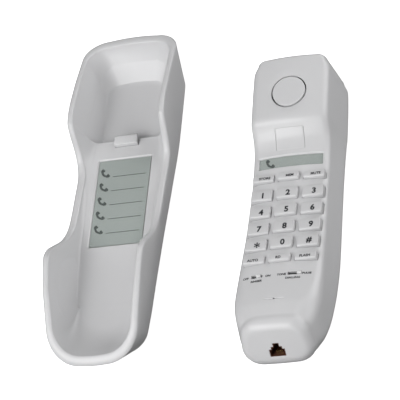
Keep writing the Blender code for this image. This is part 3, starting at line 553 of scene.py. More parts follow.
def colour_between(tree, factor, first, second):
    node = tree.nodes.new("ShaderNodeMix")
    node.data_type = "RGBA"
    node.inputs["A"].default_value = (*first, 1)
    node.inputs["B"].default_value = (*second, 1)
    tree.links.new(factor, node.inputs["Factor"])
    return node.outputs["Result"]


def bump(tree, shader, factor, distance):
    """Relief from a factor, its full height being distance in millimetres."""
    node = tree.nodes.new("ShaderNodeBump")
    node.inputs["Distance"].default_value = distance * MM
    node.inputs["Strength"].default_value = 1.0
    tree.links.new(factor, node.inputs["Height"])
    tree.links.new(node.outputs["Normal"], shader.inputs["Normal"])


def shifted(colour, factor):
    return tuple(min(1.0, channel * factor) for channel in colour)


def moulded(name, colour, roughness, grain=0.0015, grain_scale=2600, spread=0.02, specular=0.5):
    """Moulded plastic: faint flow marks in its colour, a fine spark-eroded grain, and uneven polish."""
    made, tree, shader = shader_of(name, roughness, specular=specular)
    flow = ramp(tree, noise(tree, scale=28, detail=4, stretch=(1.0, 0.35, 1.0)), 0, 1)
    tree.links.new(colour_between(tree, flow, shifted(colour, 1 - spread), shifted(colour, 1 + spread)),
                   shader.inputs["Base Color"])
    polish = ramp(tree, noise(tree, scale=70, detail=5), roughness - POLISH, roughness + POLISH)
    tree.links.new(polish, shader.inputs["Roughness"])
    bump(tree, shader, noise(tree, grain_scale, 2), grain)
    return made


def paper(name, colour):
    """Card with a soft fibre and faint cloudiness."""
    made, tree, shader = shader_of(name, 0.75, specular=0.25)
    cloud = ramp(tree, noise(tree, scale=45, detail=5), 0, 1)
    tree.links.new(colour_between(tree, cloud, shifted(colour, 0.965), shifted(colour, 1.035)),
                   shader.inputs["Base Color"])
    bump(tree, shader, noise(tree, scale=1800, detail=6, stretch=(1, 2.5, 1)), 0.015)
    return made


def clear(name, tint, opacity):
    """Thin clear plastic with faint rubbed haze."""
    made, tree, shader = shader_of(name, 0.12, specular=0.35)
    haze = ramp(tree, noise(tree, scale=220, detail=6), 0.03, 0.09)
    tree.links.new(haze, shader.inputs["Roughness"])
    tree.links.new(colour_between(tree, noise(tree, scale=35, detail=3), tint, shifted(tint, 1.04)),
                   shader.inputs["Base Color"])
    shader.inputs["Alpha"].default_value = opacity
    return made


def metal(name, colour, roughness, stretch=(1, 1, 1)):
    made, tree, shader = shader_of(name, roughness, metallic=1.0)
    fine = noise(tree, scale=900, detail=6, stretch=stretch)
    tree.links.new(ramp(tree, fine, roughness - 0.08, roughness + 0.1), shader.inputs["Roughness"])
    patches = noise(tree, scale=120, detail=4)
    tree.links.new(colour_between(tree, patches, shifted(colour, 0.92), shifted(colour, 1.05)),
                   shader.inputs["Base Color"])
    bump(tree, shader, fine, 0.004)
    return made


def rubber_look(name, colour):
    made, tree, shader = shader_of(name, 0.82, specular=0.3)
    dust = ramp(tree, noise(tree, scale=160, detail=6), 0, 1)
    tree.links.new(colour_between(tree, dust, shifted(colour, 0.9), shifted(colour, 1.25)),
                   shader.inputs["Base Color"])
    bump(tree, shader, noise(tree, scale=1500, detail=4), 0.02)
    return made


def ink(name, colour):
    """Pad-printed ink, slightly uneven."""
    made, tree, shader = shader_of(name, 0.55, specular=0.3)
    cover = ramp(tree, noise(tree, scale=1400, detail=4), 0, 1)
    tree.links.new(colour_between(tree, cover, colour, shifted(colour, 1.7)), shader.inputs["Base Color"])
    return made


def board_look(name):
    """Solder mask with copper tracks showing faintly through it."""
    made, tree, shader = shader_of(name, 0.4)
    places = tree.nodes.new("ShaderNodeTexCoord")
    bricks = tree.nodes.new("ShaderNodeTexBrick")
    bricks.inputs["Scale"].default_value = 260
    bricks.inputs["Color1"].default_value = (0.03, 0.11, 0.05, 1)
    bricks.inputs["Color2"].default_value = (0.035, 0.13, 0.06, 1)
    bricks.inputs["Mortar"].default_value = (0.06, 0.2, 0.09, 1)
    tree.links.new(places.outputs["Object"], bricks.inputs["Vector"])
    tree.links.new(bricks.outputs["Color"], shader.inputs["Base Color"])
    bump(tree, shader, bricks.outputs["Fac"], 0.03)
    return made


def all_looks():
    return {
        "housing": moulded("housing_plastic", (0.58, 0.58, 0.588), 0.33),
        "key": moulded("key_plastic", (0.55, 0.55, 0.557), 0.32),
        "knob": moulded("knob_plastic", (0.75, 0.75, 0.75), 0.4),
        "back_plate": moulded("back_plate_plastic", (0.4, 0.4, 0.41), 0.5, grain=0.02, grain_scale=1400),
        "card": paper("card_paper", (0.305, 0.335, 0.32)),
        "window": clear("clear_plastic", (0.7, 0.76, 0.74), 0.06),
        "rubber": rubber_look("grey_rubber", (0.05, 0.05, 0.052)),
        "board": board_look("circuit_board"),
        "capsule": metal("capsule_metal", (0.5, 0.5, 0.51), 0.35),
        "dark": moulded("switch_plastic", (0.03, 0.03, 0.033), 0.45),
        "jack": moulded("jack_plastic", (0.09, 0.035, 0.022), 0.42),
        "contact": metal("contact_gold", (0.85, 0.6, 0.25), 0.28, (1, 0.1, 1)),
        "steel": metal("screw_steel", (0.55, 0.55, 0.56), 0.3),
        "ink": ink("printed_ink", (0.018, 0.019, 0.021)),
        "card_ink": ink("card_ink", (0.006, 0.011, 0.01)),
    }


# --- the cradle -----------------------------------------------------------------------------------------


def side_stations():
    """Places along the cradle's sides, closer together over the step in its floor."""
    count = round((SIDE_REACH[0] - SIDE_REACH[1]) / SIDE_SPACING) + 1
    places = [SIDE_REACH[0] - SIDE_SPACING * k for k in range(count)]
    step = [STEP_Y[1] + (STEP_Y[0] - STEP_Y[1]) * k / STEP_STATIONS for k in range(-1, STEP_STATIONS + 2)]
    kept = [y for y in places if not step[0] - STATION_CLEAR < y < step[-1] + STATION_CLEAR]
    return sorted(kept + step, reverse=True)


def cradle_outline(half_width, ends, corners, end_steps=10, corner_steps=14):
    """The right half of one level of the cradle in (x, y), from the ear end's middle to the mouth's."""
    points, starts = [], []
    for end, corner, sign in ((ends[0], corners[0], 1), (ends[1], corners[1], -1)):
        flat = half_width(end) - corner
        arc = []
        for step in range(end_steps):
            x = flat * step / end_steps
            arc.append((x, end - sign * END_BOW * x * x))
        base = end - sign * (END_BOW * flat * flat + corner)
        for turn in quarter(corner_steps):
            arc.append((flat + corner * math.sin(turn), base + sign * corner * math.cos(turn)))
        points.append(arc)
        starts.append(base)
    sides = [drawn_in(y, *starts) for y in side_stations()]
    return points[0] + [(half_width(y), y) for y in sides] + points[1][::-1]


def drawn_in(y, upper, lower):
    """A place along the side, drawn in near the ends so that it stays between the corners' starts."""
    if abs(y) <= STRAIGHT_HALF:
        return y
    bend, limit, reach = (STRAIGHT_HALF, upper - 1, SIDE_REACH[0])
    if y < 0:
        bend, limit, reach = (-STRAIGHT_HALF, lower + 1, SIDE_REACH[1])
    return bend + (y - bend) * min(1, (limit - bend) / (reach - bend))


def floor_height(y):
    """The cradle's floor, which steps up from the ear pocket to the tray."""
    share = min(max((STEP_Y[0] - y) / (STEP_Y[0] - STEP_Y[1]), 0), 1)
    climb = STEP_EASE * eased(share) + (1 - STEP_EASE) * share
    return POCKET_FLOOR + climb * (LABEL_FLOOR - POCKET_FLOOR)


def between(outer, inner, share, lift):
    """A level of the inner wall, share of the way out and lift of the way up from floor to rim."""
    level = []
    for (xo, yo, zo), (xi, yi, zi) in zip(outer, inner):
        level.append((xi + share * (xo - xi), yi + share * (yo - yi), zi + lift * (zo - zi)))
    return level


def lip_drop(share):
    """How far the lip falls below the rim's crest, share of the way from its outer to its inner edge."""
    reach = max(1 - share / LIP_EDGE, (share - 1 + LIP_EDGE) / LIP_EDGE, 0)
    return LIP_ROUND * (1 - math.sqrt(1 - min(reach, 1) ** 2))


def cradle_levels():
    """Half outlines with heights, from the shell's outer foot over the rim to the floor's edge."""
    rim = smooth(RIM_HEIGHT)
    rim_outer = cradle_outline(smooth(RIM_OUTER_HALF), RIM_ENDS, RIM_CORNERS)
    rim_inner = cradle_outline(smooth(RIM_INNER_HALF), RIM_INNER_ENDS, RIM_INNER_CORNERS)
    base = cradle_outline(smooth(BASE_HALF), BASE_ENDS, BASE_CORNERS)
    floor = cradle_outline(smooth(FLOOR_HALF), FLOOR_ENDS, FLOOR_CORNERS)

    def lip(share):
        return [(a + share * (c - a), b + share * (d - b), rim(b + share * (d - b)) - lip_drop(share))
                for (a, b), (c, d) in zip(rim_outer, rim_inner)]

    foot = [(x, y, 0.0) for x, y in base]
    bed = [(x, y, floor_height(y)) for x, y in floor]
    outer_turns = [LIP_EDGE * (1 - math.cos(turn)) for turn in quarter(LIP_STEPS)]
    lips = [lip(share) for share in outer_turns + [1 - share for share in outer_turns[::-1]]]
    outside = [between(lips[0], foot, share, share) for share in OUTER_SHARES]
    walls = [between(lips[-1], bed, share, share**2) for share in WALL_SHARES]
    return foot, outside + lips + walls + [bed]


def inward(outline, distance):
    """An outline on the wall's plane, moved in by about distance, toward the cradle's long axis."""
    moved = []
    for x, y, _ in outline:
        past = max(abs(y) - SPINE_HALF, 0)
        reach = math.hypot(x, past) or 1
        moved.append((x - distance * x / reach, y - math.copysign(distance, y) * past / reach, 0.0))
    return moved


def zip_across(shape, row):
    """Faces from side to side over a symmetric ring, so that each runs straight along X."""
    half = len(row) // 2
    for k in range(half):
        left, left_next = row[-k] if k else row[0], row[-k - 1]
        right, right_next = row[k], row[k + 1]
        corners = [right, right_next, left_next, left]
        shape.faces.new([v for i, v in enumerate(corners) if v is not corners[i - 1]])


def cradle_shell():
    foot, levels = cradle_levels()
    bed = levels[-1]
    under_floor = [(x, y, max(z - FLOOR_THICK, PLATE_THICK + GAP)) for x, y, z in bed]
    inner_foot = inward(foot, WALL)
    crest = levels[len(OUTER_SHARES) + LIP_STEPS]
    roof = []
    for (xf, yf, _), (xr, yr, zr) in zip(inner_foot, crest):
        height = max(zr - ROOF_DROP, ROOF_DROP)
        climb = ROOF_LEAN * height / zr
        roof.append((xf + climb * (xr - xf), yf + climb * (yr - yf), height))
    shape = bmesh.new()
    rows = [[shape.verts.new(point) for point in both_sides(level)]
            for level in [inner_foot, foot] + levels + [under_floor, roof]]
    top = len(rows) - 3
    for low, high in [(k, k + 1) for k in range(top)] + [(top + 1, top + 2), (top + 2, 0)]:
        for k in range(len(rows[0])):
            following = (k + 1) % len(rows[0])
            shape.faces.new((rows[low][k], rows[low][following], rows[high][following], rows[high][k]))
    for row in (rows[top], rows[top + 1]):
        zip_across(shape, row)
    shell = as_object("cradle_shell_fine", shape)
    cut(shell, as_object("card_pocket", card_pocket()), as_object("tab_slot", tab_slot()))
    return finish(shell, LOOKS["housing"], "cradle", "cradle_shell", slot="housing")


def card_pocket():
    """A cutter for the index card's recess, whose upper edges slope outward."""
    width, length = CARD_SIZE
    half, deep = width / 2 + GAP, length / 2 + GAP
    bottom = LABEL_FLOOR - CARD_THICK - CARD_WINDOW_THICK - GAP
    levels = [(0, bottom), (0, LABEL_FLOOR - CARD_CHAMFER), (2 * CARD_CHAMFER, LABEL_FLOOR + CARD_CHAMFER),
              (2 * CARD_CHAMFER, LABEL_FLOOR + 4)]
    rings = []
    for grow, height in levels:
        outline = rounded_rectangle(half + grow, deep + grow, WINDOW_CORNER + grow, 3, 1)
        rings.append([(*point, height) for point in outline])
    return loft(rings)


def tab_slot():
    half = TAB_WIDTH / 2 + GAP
    low = (-half, STEP_Y[1] - TAB_DEPTH - GAP, POCKET_FLOOR + TAB_FOOT)
    return box(low, (half, STEP_Y[1] - TAB_BACKSET, CUTTER_TOP))


def hang_tab():
    half = TAB_WIDTH / 2
    back, front = STEP_Y[1] - TAB_DEPTH, STEP_Y[1] - TAB_BACKSET - GAP
    low, top = POCKET_FLOOR + TAB_FOOT + GAP, LABEL_FLOOR + TAB_RISE
    outline = [(back, low), (front, low), (front, LABEL_FLOOR + GAP), (STEP_Y[0] + 0.4, LABEL_FLOOR + 0.9),
               (STEP_Y[0] + 0.6, LABEL_FLOOR + 1.9), (STEP_Y[0] - 1.0, top), (back, top - 0.6)]
    tab = as_object("hang_tab_fine", prism(outline, -half, half, across="x"))
    finish(soften(tab, TAB_ROUND, 25, 3), LOOKS["housing"], "tab", "hang_tab", slot="housing")


def keyhole(y):
    """A cutter for one keyhole: a round entry with a narrower slot above it, as it hangs on the wall."""
    slot = box((-KEYHOLE_NECK / 2, 0, -1), (KEYHOLE_NECK / 2, KEYHOLE_HEAD, PLATE_THICK + 1))
    entry = as_object("keyhole", cylinder(KEYHOLE_HEAD / 2, -1, PLATE_THICK + 1, 48), placed((0, y, 0)))
    return cut(entry, as_object("keyhole_slot", slot, placed((0, y, 0))), operation="UNION")


def back_plate():
    foot, _ = cradle_levels()
    outline = both_sides(inward(foot, PLATE_MARGIN))
    plate = as_object("cradle_back_plate_fine", prism([(x, y) for x, y, _ in outline], 0, PLATE_THICK))
    tools = [keyhole(KEYHOLE_TOP_Y), keyhole(KEYHOLE_TOP_Y - KEYHOLE_PITCH)]
    for x, y in SCREW_PLACES:
        radius, depth = SCREW_RECESS
        tools.append(as_object("head_recess", cylinder(radius, -1, depth, 40), placed((x, y, 0))))
        tools.append(as_object("shank_hole", cylinder(SHANK_HOLE, 0, PLATE_THICK + 1, 24), placed((x, y, 0))))
    for x, y in FOOT_PLACES:
        recess = cylinder(FOOT_RADIUS + GAP, -1, FOOT_RECESS, 48)
        tools.append(as_object("foot_recess", recess, placed((x, y, 0))))
    plate = soften(cut(plate, *tools), 0.25, 50, 2)
    finish(plate, LOOKS["back_plate"], "cradle", "cradle_back_plate", slot="back_plate")


def screw(name, body, matrix, head_radius, shank_radius, length):
    """A pan-head screw with a cross recess and a ridged shank, head down at the matrix's place."""
    head = SCREW_HEAD
    profile = [(head_radius * 0.55, 0), (head_radius * 0.8, 0.06), (head_radius * 0.95, 0.25),
               (head_radius, 0.5), (head_radius, head), (shank_radius, head)]
    threads = int((length - head - 0.8) / THREAD_PITCH)
    for k in range(threads):
        thread = THREAD_PITCH * k
        profile += [(shank_radius, head + 0.15 + thread), (shank_radius * 0.8, head + 0.4 + thread)]
    profile.append((0.3, length))
    thing = as_object(name + "_fine", turned(profile, 32), matrix)
    arm = head_radius * 0.5
    for wide, deep in ((arm, CROSS_HALF), (CROSS_HALF, arm)):
        cross = as_object("cross", box((-wide, -deep, -0.2), (wide, deep, 0.6)), matrix)
        cut(thing, cross)
    finish(thing, LOOKS["steel"], body, name, slot="steel")


def foot_pad(name, x, y):
    """A rubber foot with a rounded rim and a shallow hollow in its sole."""
    radius = FOOT_RADIUS - SOLE_MARGIN
    profile = [(radius * 0.55, -FOOT_PROUD + 0.15), (radius * 0.7, -FOOT_PROUD)]
    for turn in quarter(4):
        profile.append((radius - SOLE_ROUND + SOLE_ROUND * math.sin(turn),
                        -FOOT_PROUD + SOLE_ROUND * (1 - math.cos(turn))))
    profile.append((FOOT_RADIUS, 0.5))
    pad = as_object(name + "_fine", turned(profile, 48), placed((x, y, 0)))
    finish(pad, LOOKS["rubber"], "cradle", name, slot="rubber")


def card_window():
    width, length = CARD_SIZE
    low = LABEL_FLOOR - CARD_WINDOW_THICK + 0.15
    slab = prism(rounded_rectangle(width / 2, length / 2, 0.4, 3, 1), low, LABEL_FLOOR)
    finish(soften(as_object("index_card_window_fine", slab), 0.2), LOOKS["window"], "cradle",
           "index_card_window", slot="window")


def handset_icon(size):
    """A small handset sign as an outline in (x, y): a bent grip with a rounded bulb at each end."""
    outer, inner = [], []
    for k in range(ICON_STEPS + 1):
        share = k / ICON_STEPS
        near_end = max(abs(2 * share - 1) - ICON_GRIP, 0) / (1 - ICON_GRIP)
        bulb = math.sqrt(max(1 - (2 * near_end - 1) ** 2, 0)) if near_end > 0 else 0
        tip = max(2 * near_end - 1, 0)
        close = math.sqrt(max(1 - tip * tip, 0))
        turn = ICON_START + ICON_SWEEP * share
        direction = Vector((math.cos(turn), math.sin(turn)))
        outer.append((ICON_RADIUS + close * (ICON_HALF_GRIP + ICON_BULB[0] * bulb)) * direction)
        inner.append((ICON_RADIUS - close * (ICON_HALF_GRIP + ICON_BULB[1] * bulb)) * direction)
    middle = Vector(ICON_MIDDLE)
    return [tuple((point - middle) * size) for point in outer + inner[-2:0:-1]]


def card_print():
    """The lines and handset signs printed on the index card."""
    top = LABEL_FLOOR - CARD_WINDOW_THICK
    signs = bmesh.new()
    for k in range(CARD_ROWS):
        y = CARD_FIRST_LINE - CARD_LINE_PITCH * k
        half = CARD_LINE_WIDTH / 2
        bar = box((CARD_LINE[0], y - half, top), (CARD_LINE[1], y + half, top + INK_THICK))
        icon = prism([(CARD_ICON[0] + a, y + CARD_ICON[1] + b) for a, b in handset_icon(CARD_ICON_SIZE)],
                     top, top + INK_THICK)
        merge(signs, bar)
        merge(signs, icon)
    finish(as_object("index_card_print", signs), LOOKS["card_ink"], "cradle")


def merge(target, other):
    """Adds one bmesh to another."""
    mesh = bpy.data.meshes.new("merging")
    other.to_mesh(mesh)
    other.free()
    target.from_mesh(mesh)
    bpy.data.meshes.remove(mesh)


def cradle():
    cradle_shell()
    back_plate()
    card_window()
    card_print()
    hang_tab()
    for k, (x, y) in enumerate(SCREW_PLACES):
        place = placed((x, y, 0.1))
        screw(f"cradle_screw_{k + 1}", "cradle", place, SCREW_HEAD_RADIUS, SCREW_SHANK_RADIUS,
              LABEL_FLOOR - FLOOR_THICK)
    for k, (x, y) in enumerate(FOOT_PLACES):
        foot_pad(f"rubber_foot_{k + 1}", x, y)


# --- the handset's covers -------------------------------------------------------------------------------


def handset_curves():
    """One curve of the distance from the ear end for each column of the handset's rows."""
    along = [-(row[0] + row[2]) / 2 for row in HANDSET_ROWS]
    return along, [smooth(list(zip(along, column))) for column in zip(*HANDSET_ROWS)]


def section(row, wall=0.0, shrink=0.0, fine=True):
    """A closed ring across the handset: a rounded trapezoid with a crowned front and back."""
    arc_steps, front_steps, side_steps = (9, 24, 6) if fine else (5, 8, 3)
    front_y, front_z, back_y, back_z, front_half, back_half, front_round, back_round = row
    inset = wall + shrink
    front, back = Vector((front_y, front_z)), Vector((back_y, back_z))
    axis = (front - back).normalized()
    front, back = front - axis * inset, back + axis * inset
    tall = (front - back).length
    front_half, back_half = front_half - inset, back_half - inset
    front_round, back_round = max(front_round - inset, 1.0), max(back_round - inset, 1.0)
    corners = [(-front_half, tall), (front_half, tall), (back_half, 0), (-back_half, 0)]
    flat = rounded(corners, (front_round, front_round, back_round, back_round), arc_steps)
    flat = subdivide(flat, arc_steps + 1, (front_steps, side_steps, front_steps, side_steps))
    ring = []
    for x, height in flat:
        share = min(max(height / tall, 0), 1)
        height += BACK_CROWN * x * x * (1 - share) ** 2 - FRONT_CROWN * x * x * share**2
        point = back + axis * height
        ring.append((x, point.x, point.y))
    return ring


def end_rings(row, outward, radius, wall, fine):
    """Rings that round off an end: each moves out along outward as it shrinks."""
    rings = []
    reach = (radius - wall) * END_TRIM
    for angle in quarter(9 if fine else 4)[1:]:
        shift = Vector(outward) * reach * math.sin(angle)
        moved = list(row)
        moved[0], moved[1] = row[0] + shift.x, row[1] + shift.y
        moved[2], moved[3] = row[2] + shift.x, row[3] + shift.y
        rings.append(section(moved, wall, reach * (1 - math.cos(angle)), fine))
    return rings


def handset_rings(wall=0.0, fine=True):
    along, curves = handset_curves()
    rows = []
    for start, stop in zip(along, along[1:]):
        count = max(1, round((stop - start) / (1.5 if fine else 4)))
        rows += [[curve(start + (stop - start) * k / count) for curve in curves] for k in range(count)]
    rows.append([curve(along[-1]) for curve in curves])
    first, last = rows[0], rows[-1]
    rise = Vector((last[0] - last[2], last[1] - last[3])).normalized()
    ear = end_rings(first, (1.0, 0.1), EAR_END_ROUND, wall, fine)[::-1]
    mouth = end_rings(last, (-rise.y, rise.x), MOUTH_END_ROUND, wall, fine)
    return ear + [section(row, wall, 0, fine) for row in rows] + mouth


def front_skin():
    """The uncut outer surface, to seat other shapes on."""
    shape = loft(handset_rings())
    tree = BVHTree.FromBMesh(shape)
    shape.free()
    return tree


def height_at(x, y, place=(0, 0, 0), lean=0.0):
    """How high the outer surface stands at (x, y) in a frame at place that leans about X."""
    frame_of = placed(place, lean)
    start = frame_of @ Vector((x, y, RAY_START))
    down = -(frame_of.to_3x3() @ UP)
    hit = SKIN.ray_cast(start, down)[3]
    return RAY_START - hit if hit is not None else 0.0


def eased(share):
    share = min(max(share, 0), 1)
    return share * share * (3 - 2 * share)


def dished(rings):
    """Rings with the shallow dish round the ear cap pressed into them."""
    top = height_at(0, EAR_Y)
    lean = placed((0, EAR_Y, top), EAR_LEAN)
    back = lean.inverted()
    pressed = []
    for ring in rings:
        moved = []
        for point in ring:
            x, y, z = back @ Vector(point)
            reach = math.hypot(x, y)
            if reach < EAR_DISH_RADIUS and z > -3:
                share = eased((reach - EAR_CAP_RADIUS) / (EAR_DISH_RADIUS - EAR_CAP_RADIUS))
                z = -EAR_DISH_DEPTH + share * (z + EAR_DISH_DEPTH)
            moved.append(tuple(lean @ Vector((x, y, z))))
        pressed.append(moved)
    return pressed


def parting_block(above):
    """A cutter with a curved face along the seam, which keeps what is above it or below it."""
    along, curves = handset_curves()
    seam = [(80, curves[3](along[0]) + PARTING_RISE)]
    for place in along:
        seam.append((curves[2](place), curves[3](place) + PARTING_RISE))
    seam.append((-140, curves[3](along[-1]) + PARTING_RISE))
    edge = -30 if above else 80
    shift = 0 if above else SEAM_LINE
    outline = [(y, z - shift) for y, z in seam] + [(-140, edge), (80, edge)]
    return prism(outline, -50, 50, across="x")


def opening(outline, place=(0, 0, 0), lean=0.0, depth=6.0, chamfer=0.15):
    """A cutter through the cover whose edge at the surface is chamfered. outline(grow) gives its points."""
    inner, outer = outline(0), outline(2 * chamfer)
    seats = [height_at(x, y, place, lean) for x, y in inner]
    rims = [height_at(x, y, place, lean) for x, y in outer]
    low = min(seats) - depth
    high = max(seats) + 6
    rings = [
        [(x, y, low) for x, y in inner],
        [(x, y, seat - chamfer) for (x, y), seat in zip(inner, seats)],
        [(x, y, rim + chamfer) for (x, y), rim in zip(outer, rims)],
        [(x, y, high) for x, y in outer],
    ]
    return as_object("opening", loft(rings), in_handset(place, lean))


def keypad_place(x, v, w):
    """A point in the handset's frame from one on the leaning keypad: x across, v along it, w out of it."""
    cos, sin = math.cos(KEYPAD_LEAN), math.sin(KEYPAD_LEAN)
    return x, KEYPAD_Y + v * cos + w * sin, KEYPAD_Z - v * sin + w * cos


def key_layout():
    """(name, x, v, width, depth) of each key, v measured along the leaning keypad."""
    keys = []
    rows = [(v, names, KEY_SIZE) for v, names in zip(DIGIT_ROWS, DIGIT_NAMES)]
    rows += [(v, names, FUNCTION_KEY_SIZE) for v, names in zip(FUNCTION_ROWS, FUNCTION_NAMES)]
    for v, names, (width, depth) in rows:
        for column, name in zip((-1, 0, 1), names):
            keys.append((name, column * PITCH_X, v, width, depth))
    return keys


def openings():
    """Cutters for everything that shows in the front cover."""
    tools = []
    for _, x, v, width, depth in key_layout():
        def outline(grow, half=width / 2 + KEY_GAP, deep=depth / 2 + KEY_GAP):
            return rounded_rectangle(half + grow, deep + grow, KEY_CORNER + grow)
        tools.append(opening(outline, keypad_place(x, v, 0), -KEYPAD_LEAN, 4.5))
    width, depth = NUMBER_WINDOW

    def window(grow):
        return rounded_rectangle(width / 2 + grow, depth / 2 + grow, WINDOW_CORNER + grow, 4, 12)
    tools.append(opening(window, (0, NUMBER_Y, 0), 0, 3.2, NUMBER_CHAMFER))
    middle = sum(HOOK_KEY_Y) / 2
    deep = (HOOK_KEY_Y[1] - HOOK_KEY_Y[0]) / 2 + HOOK_GAP

    def hook(grow):
        return rounded_rectangle(HOOK_KEY_WIDTH / 2 + HOOK_SIDE_GAP, deep, 0.3, 2, 12)
    tools.append(opening(hook, (0, middle, 0), 0, 5, 0.01))
    for centre, wide in (RINGER_SLOT, DIAL_SLOT):
        def slot(grow, half=wide / 2):
            return rounded_rectangle(half + grow, SLOT_DEPTH / 2 + grow, LEAST_CORNER + grow, 2, 4)
        tools.append(opening(slot, (centre, SWITCH_Y, 0), 0, 5, 0.12))
    cap = [(EAR_CAP_RADIUS + EAR_RING, -7), (EAR_CAP_RADIUS + EAR_RING, 4)]
    tools.append(as_object("ear_hole", turned(cap, 96), ear_frame()))
    tools.append(as_object("mic_hole", cylinder(MIC_HOLE_RADIUS, 20, 45, 16), in_handset((0, MIC_Y, 0))))
    tools.append(mic_groove())
    tools.append(jack_hole())
    return tools


def ear_frame():
    """The middle of the ear's flat face, leaning with it."""
    return in_handset((0, EAR_Y, height_at(0, EAR_Y)), EAR_LEAN)


def mic_groove():
    """A cutter for the shallow line across the mouthpiece."""
    length, width, depth = MIC_GROOVE
    top = height_at(0, MIC_Y)
    slope = math.atan2(height_at(0, MIC_Y + 2) - height_at(0, MIC_Y - 2), 4)
    across = [length * (k / 16 - 0.5) for k in range(17)]
    ring = [(-width / 2, 0.4), (width / 2, 0.4), (0, -depth)]
    rings = []
    for x in across:
        shallow = depth * 1.15 * (2 * x / length) ** 4 - FRONT_CROWN * x * x
        rings.append([(x, y, z + shallow) for y, z in ring])
    return as_object("groove", loft(rings), in_handset((0, MIC_Y, top), slope))


def jack_outline(grow=0.0):
    """The stepped opening of a modular jack in (x, height), from its sill."""
    right = []
    below = -grow
    for half, top in JACK_STEPS:
        right += [(half + grow, below), (half + grow, top + grow)]
        below = top + grow
    return right + [(-x, height) for x, height in right[::-1]]


def jack_frame():
    """The middle of the jack's sill on the end face, and the lean of that face from upright."""
    along, curves = handset_curves()
    row = [curve(along[-1]) for curve in curves]
    rise = Vector((row[0] - row[2], row[1] - row[3])).normalized()
    out = Vector((-rise.y, rise.x)) * MOUTH_END_ROUND
    sill = Vector((row[2], row[3])) + out + rise * JACK_SILL
    return (0, sill.x, sill.y), math.atan2(rise.x, rise.y)


def jack_hole():
    place, lean = jack_frame()
    rings = []
    for depth, grow in ((-6, JACK_FLARE), (-0.02, JACK_FLARE), (0.23, 0.0), (12, 0.0)):
        rings.append([(x, depth, z) for x, z in jack_outline(grow)])
    return as_object("jack_hole", loft(rings), in_handset(place, -lean))


def front_cover():
    cover = as_object("handset_front_cover_fine", loft(dished(handset_rings())), HANDSET)
    inside = as_object("inside", loft(handset_rings(WALL, fine=False)), HANDSET)
    below = as_object("below_seam", parting_block(above=True), HANDSET)
    cut(cover, inside, below)
    cut(cover, *openings())
    finish(cover, LOOKS["housing"], "handset", "handset_front_cover", slot="housing")


def rear_cover():
    cover = as_object("handset_rear_cover_fine", loft(handset_rings()), HANDSET)
    inside = as_object("inside", loft(handset_rings(WALL, fine=False)), HANDSET)
    above = as_object("above_seam", parting_block(above=False), HANDSET)
    cut(cover, inside, above)
    for x, y in CASE_SCREWS:
        place = in_handset((x, y, BOSS_FOOT))
        tube = as_object("boss", cylinder(BOSS_RING, -9.6, -GAP, 40), place)
        well = as_object("well", cylinder(HEAD_WELL, -12, -WALL, 40), place)
        hole = as_object("hole", cylinder(SHANK_HOLE, -9, 2, 24), place)
        cut(cover, tube, operation="UNION")
        cut(cover, well, hole)
    finish(cover, LOOKS["housing"], "handset", "handset_rear_cover", slot="housing")


# --- what the handset carries ---------------------------------------------------------------------------


def keycap(width, depth, top):
    """A keycap with rounded upper edges, a sloping lower side, and a flange under the cover."""
    half, deep = width / 2, depth / 2
    slope, edge = KEY_SLOPE
    flange_top = KEY_SEAT - FLANGE_EDGE
    levels = [(-FLANGE_NARROWING, FLANGE, 0, KEY_FOOT), (-FLANGE_NARROWING, FLANGE, 0, flange_top),
              (-FLANGE_NARROWING, -0.4, 0, flange_top), (0, 0, 0, KEY_SEAT + FLANGE_EDGE),
              (0, 0, 0, top - edge)]
    for turn in quarter(6)[1:]:
        shrink = KEY_ROUND * (1 - math.cos(turn))
        tilt = slope * (1 - math.cos(turn))
        levels.append((-shrink, -shrink, tilt, top - edge * (1 - math.sin(turn))))
    rings = []
    for grow_x, grow_y, tilt, height in levels:
        corner = max(KEY_CORNER + min(grow_x, grow_y), LEAST_CORNER)
        outline = rounded_rectangle(half + grow_x, deep + grow_y - tilt / 2, corner, 4, 1)
        rings.append([(x, y + tilt / 2, height) for x, y in outline])
    return loft(rings)


def lettering(text, size, bold):
    """Flat text as a thin closed bmesh about its own middle, resting on Z = 0."""
    curve = bpy.data.curves.new("lettering", "FONT")
    curve.body = text
    curve.size = size
    curve.align_x = "CENTER"
    curve.extrude = INK_THICK / 2
    curve.offset = bold
    curve.resolution_u = 4
    thing = bpy.data.objects.new("lettering", curve)
    bpy.context.scene.collection.objects.link(thing)
    graph = bpy.context.evaluated_depsgraph_get()
    mesh = bpy.data.meshes.new_from_object(thing.evaluated_get(graph))
    shape = bmesh.new()
    shape.from_mesh(mesh)
    bpy.data.objects.remove(thing)
    bpy.data.meshes.remove(mesh)
    bmesh.ops.remove_doubles(shape, verts=shape.verts, dist=0.001)
    low_x, high_x = min(v.co.x for v in shape.verts), max(v.co.x for v in shape.verts)
    low_y, high_y = min(v.co.y for v in shape.verts), max(v.co.y for v in shape.verts)
    middle = Vector(((low_x + high_x) / 2, (low_y + high_y) / 2, -INK_THICK / 2))
    bmesh.ops.translate(shape, vec=-middle, verts=shape.verts)
    return shape


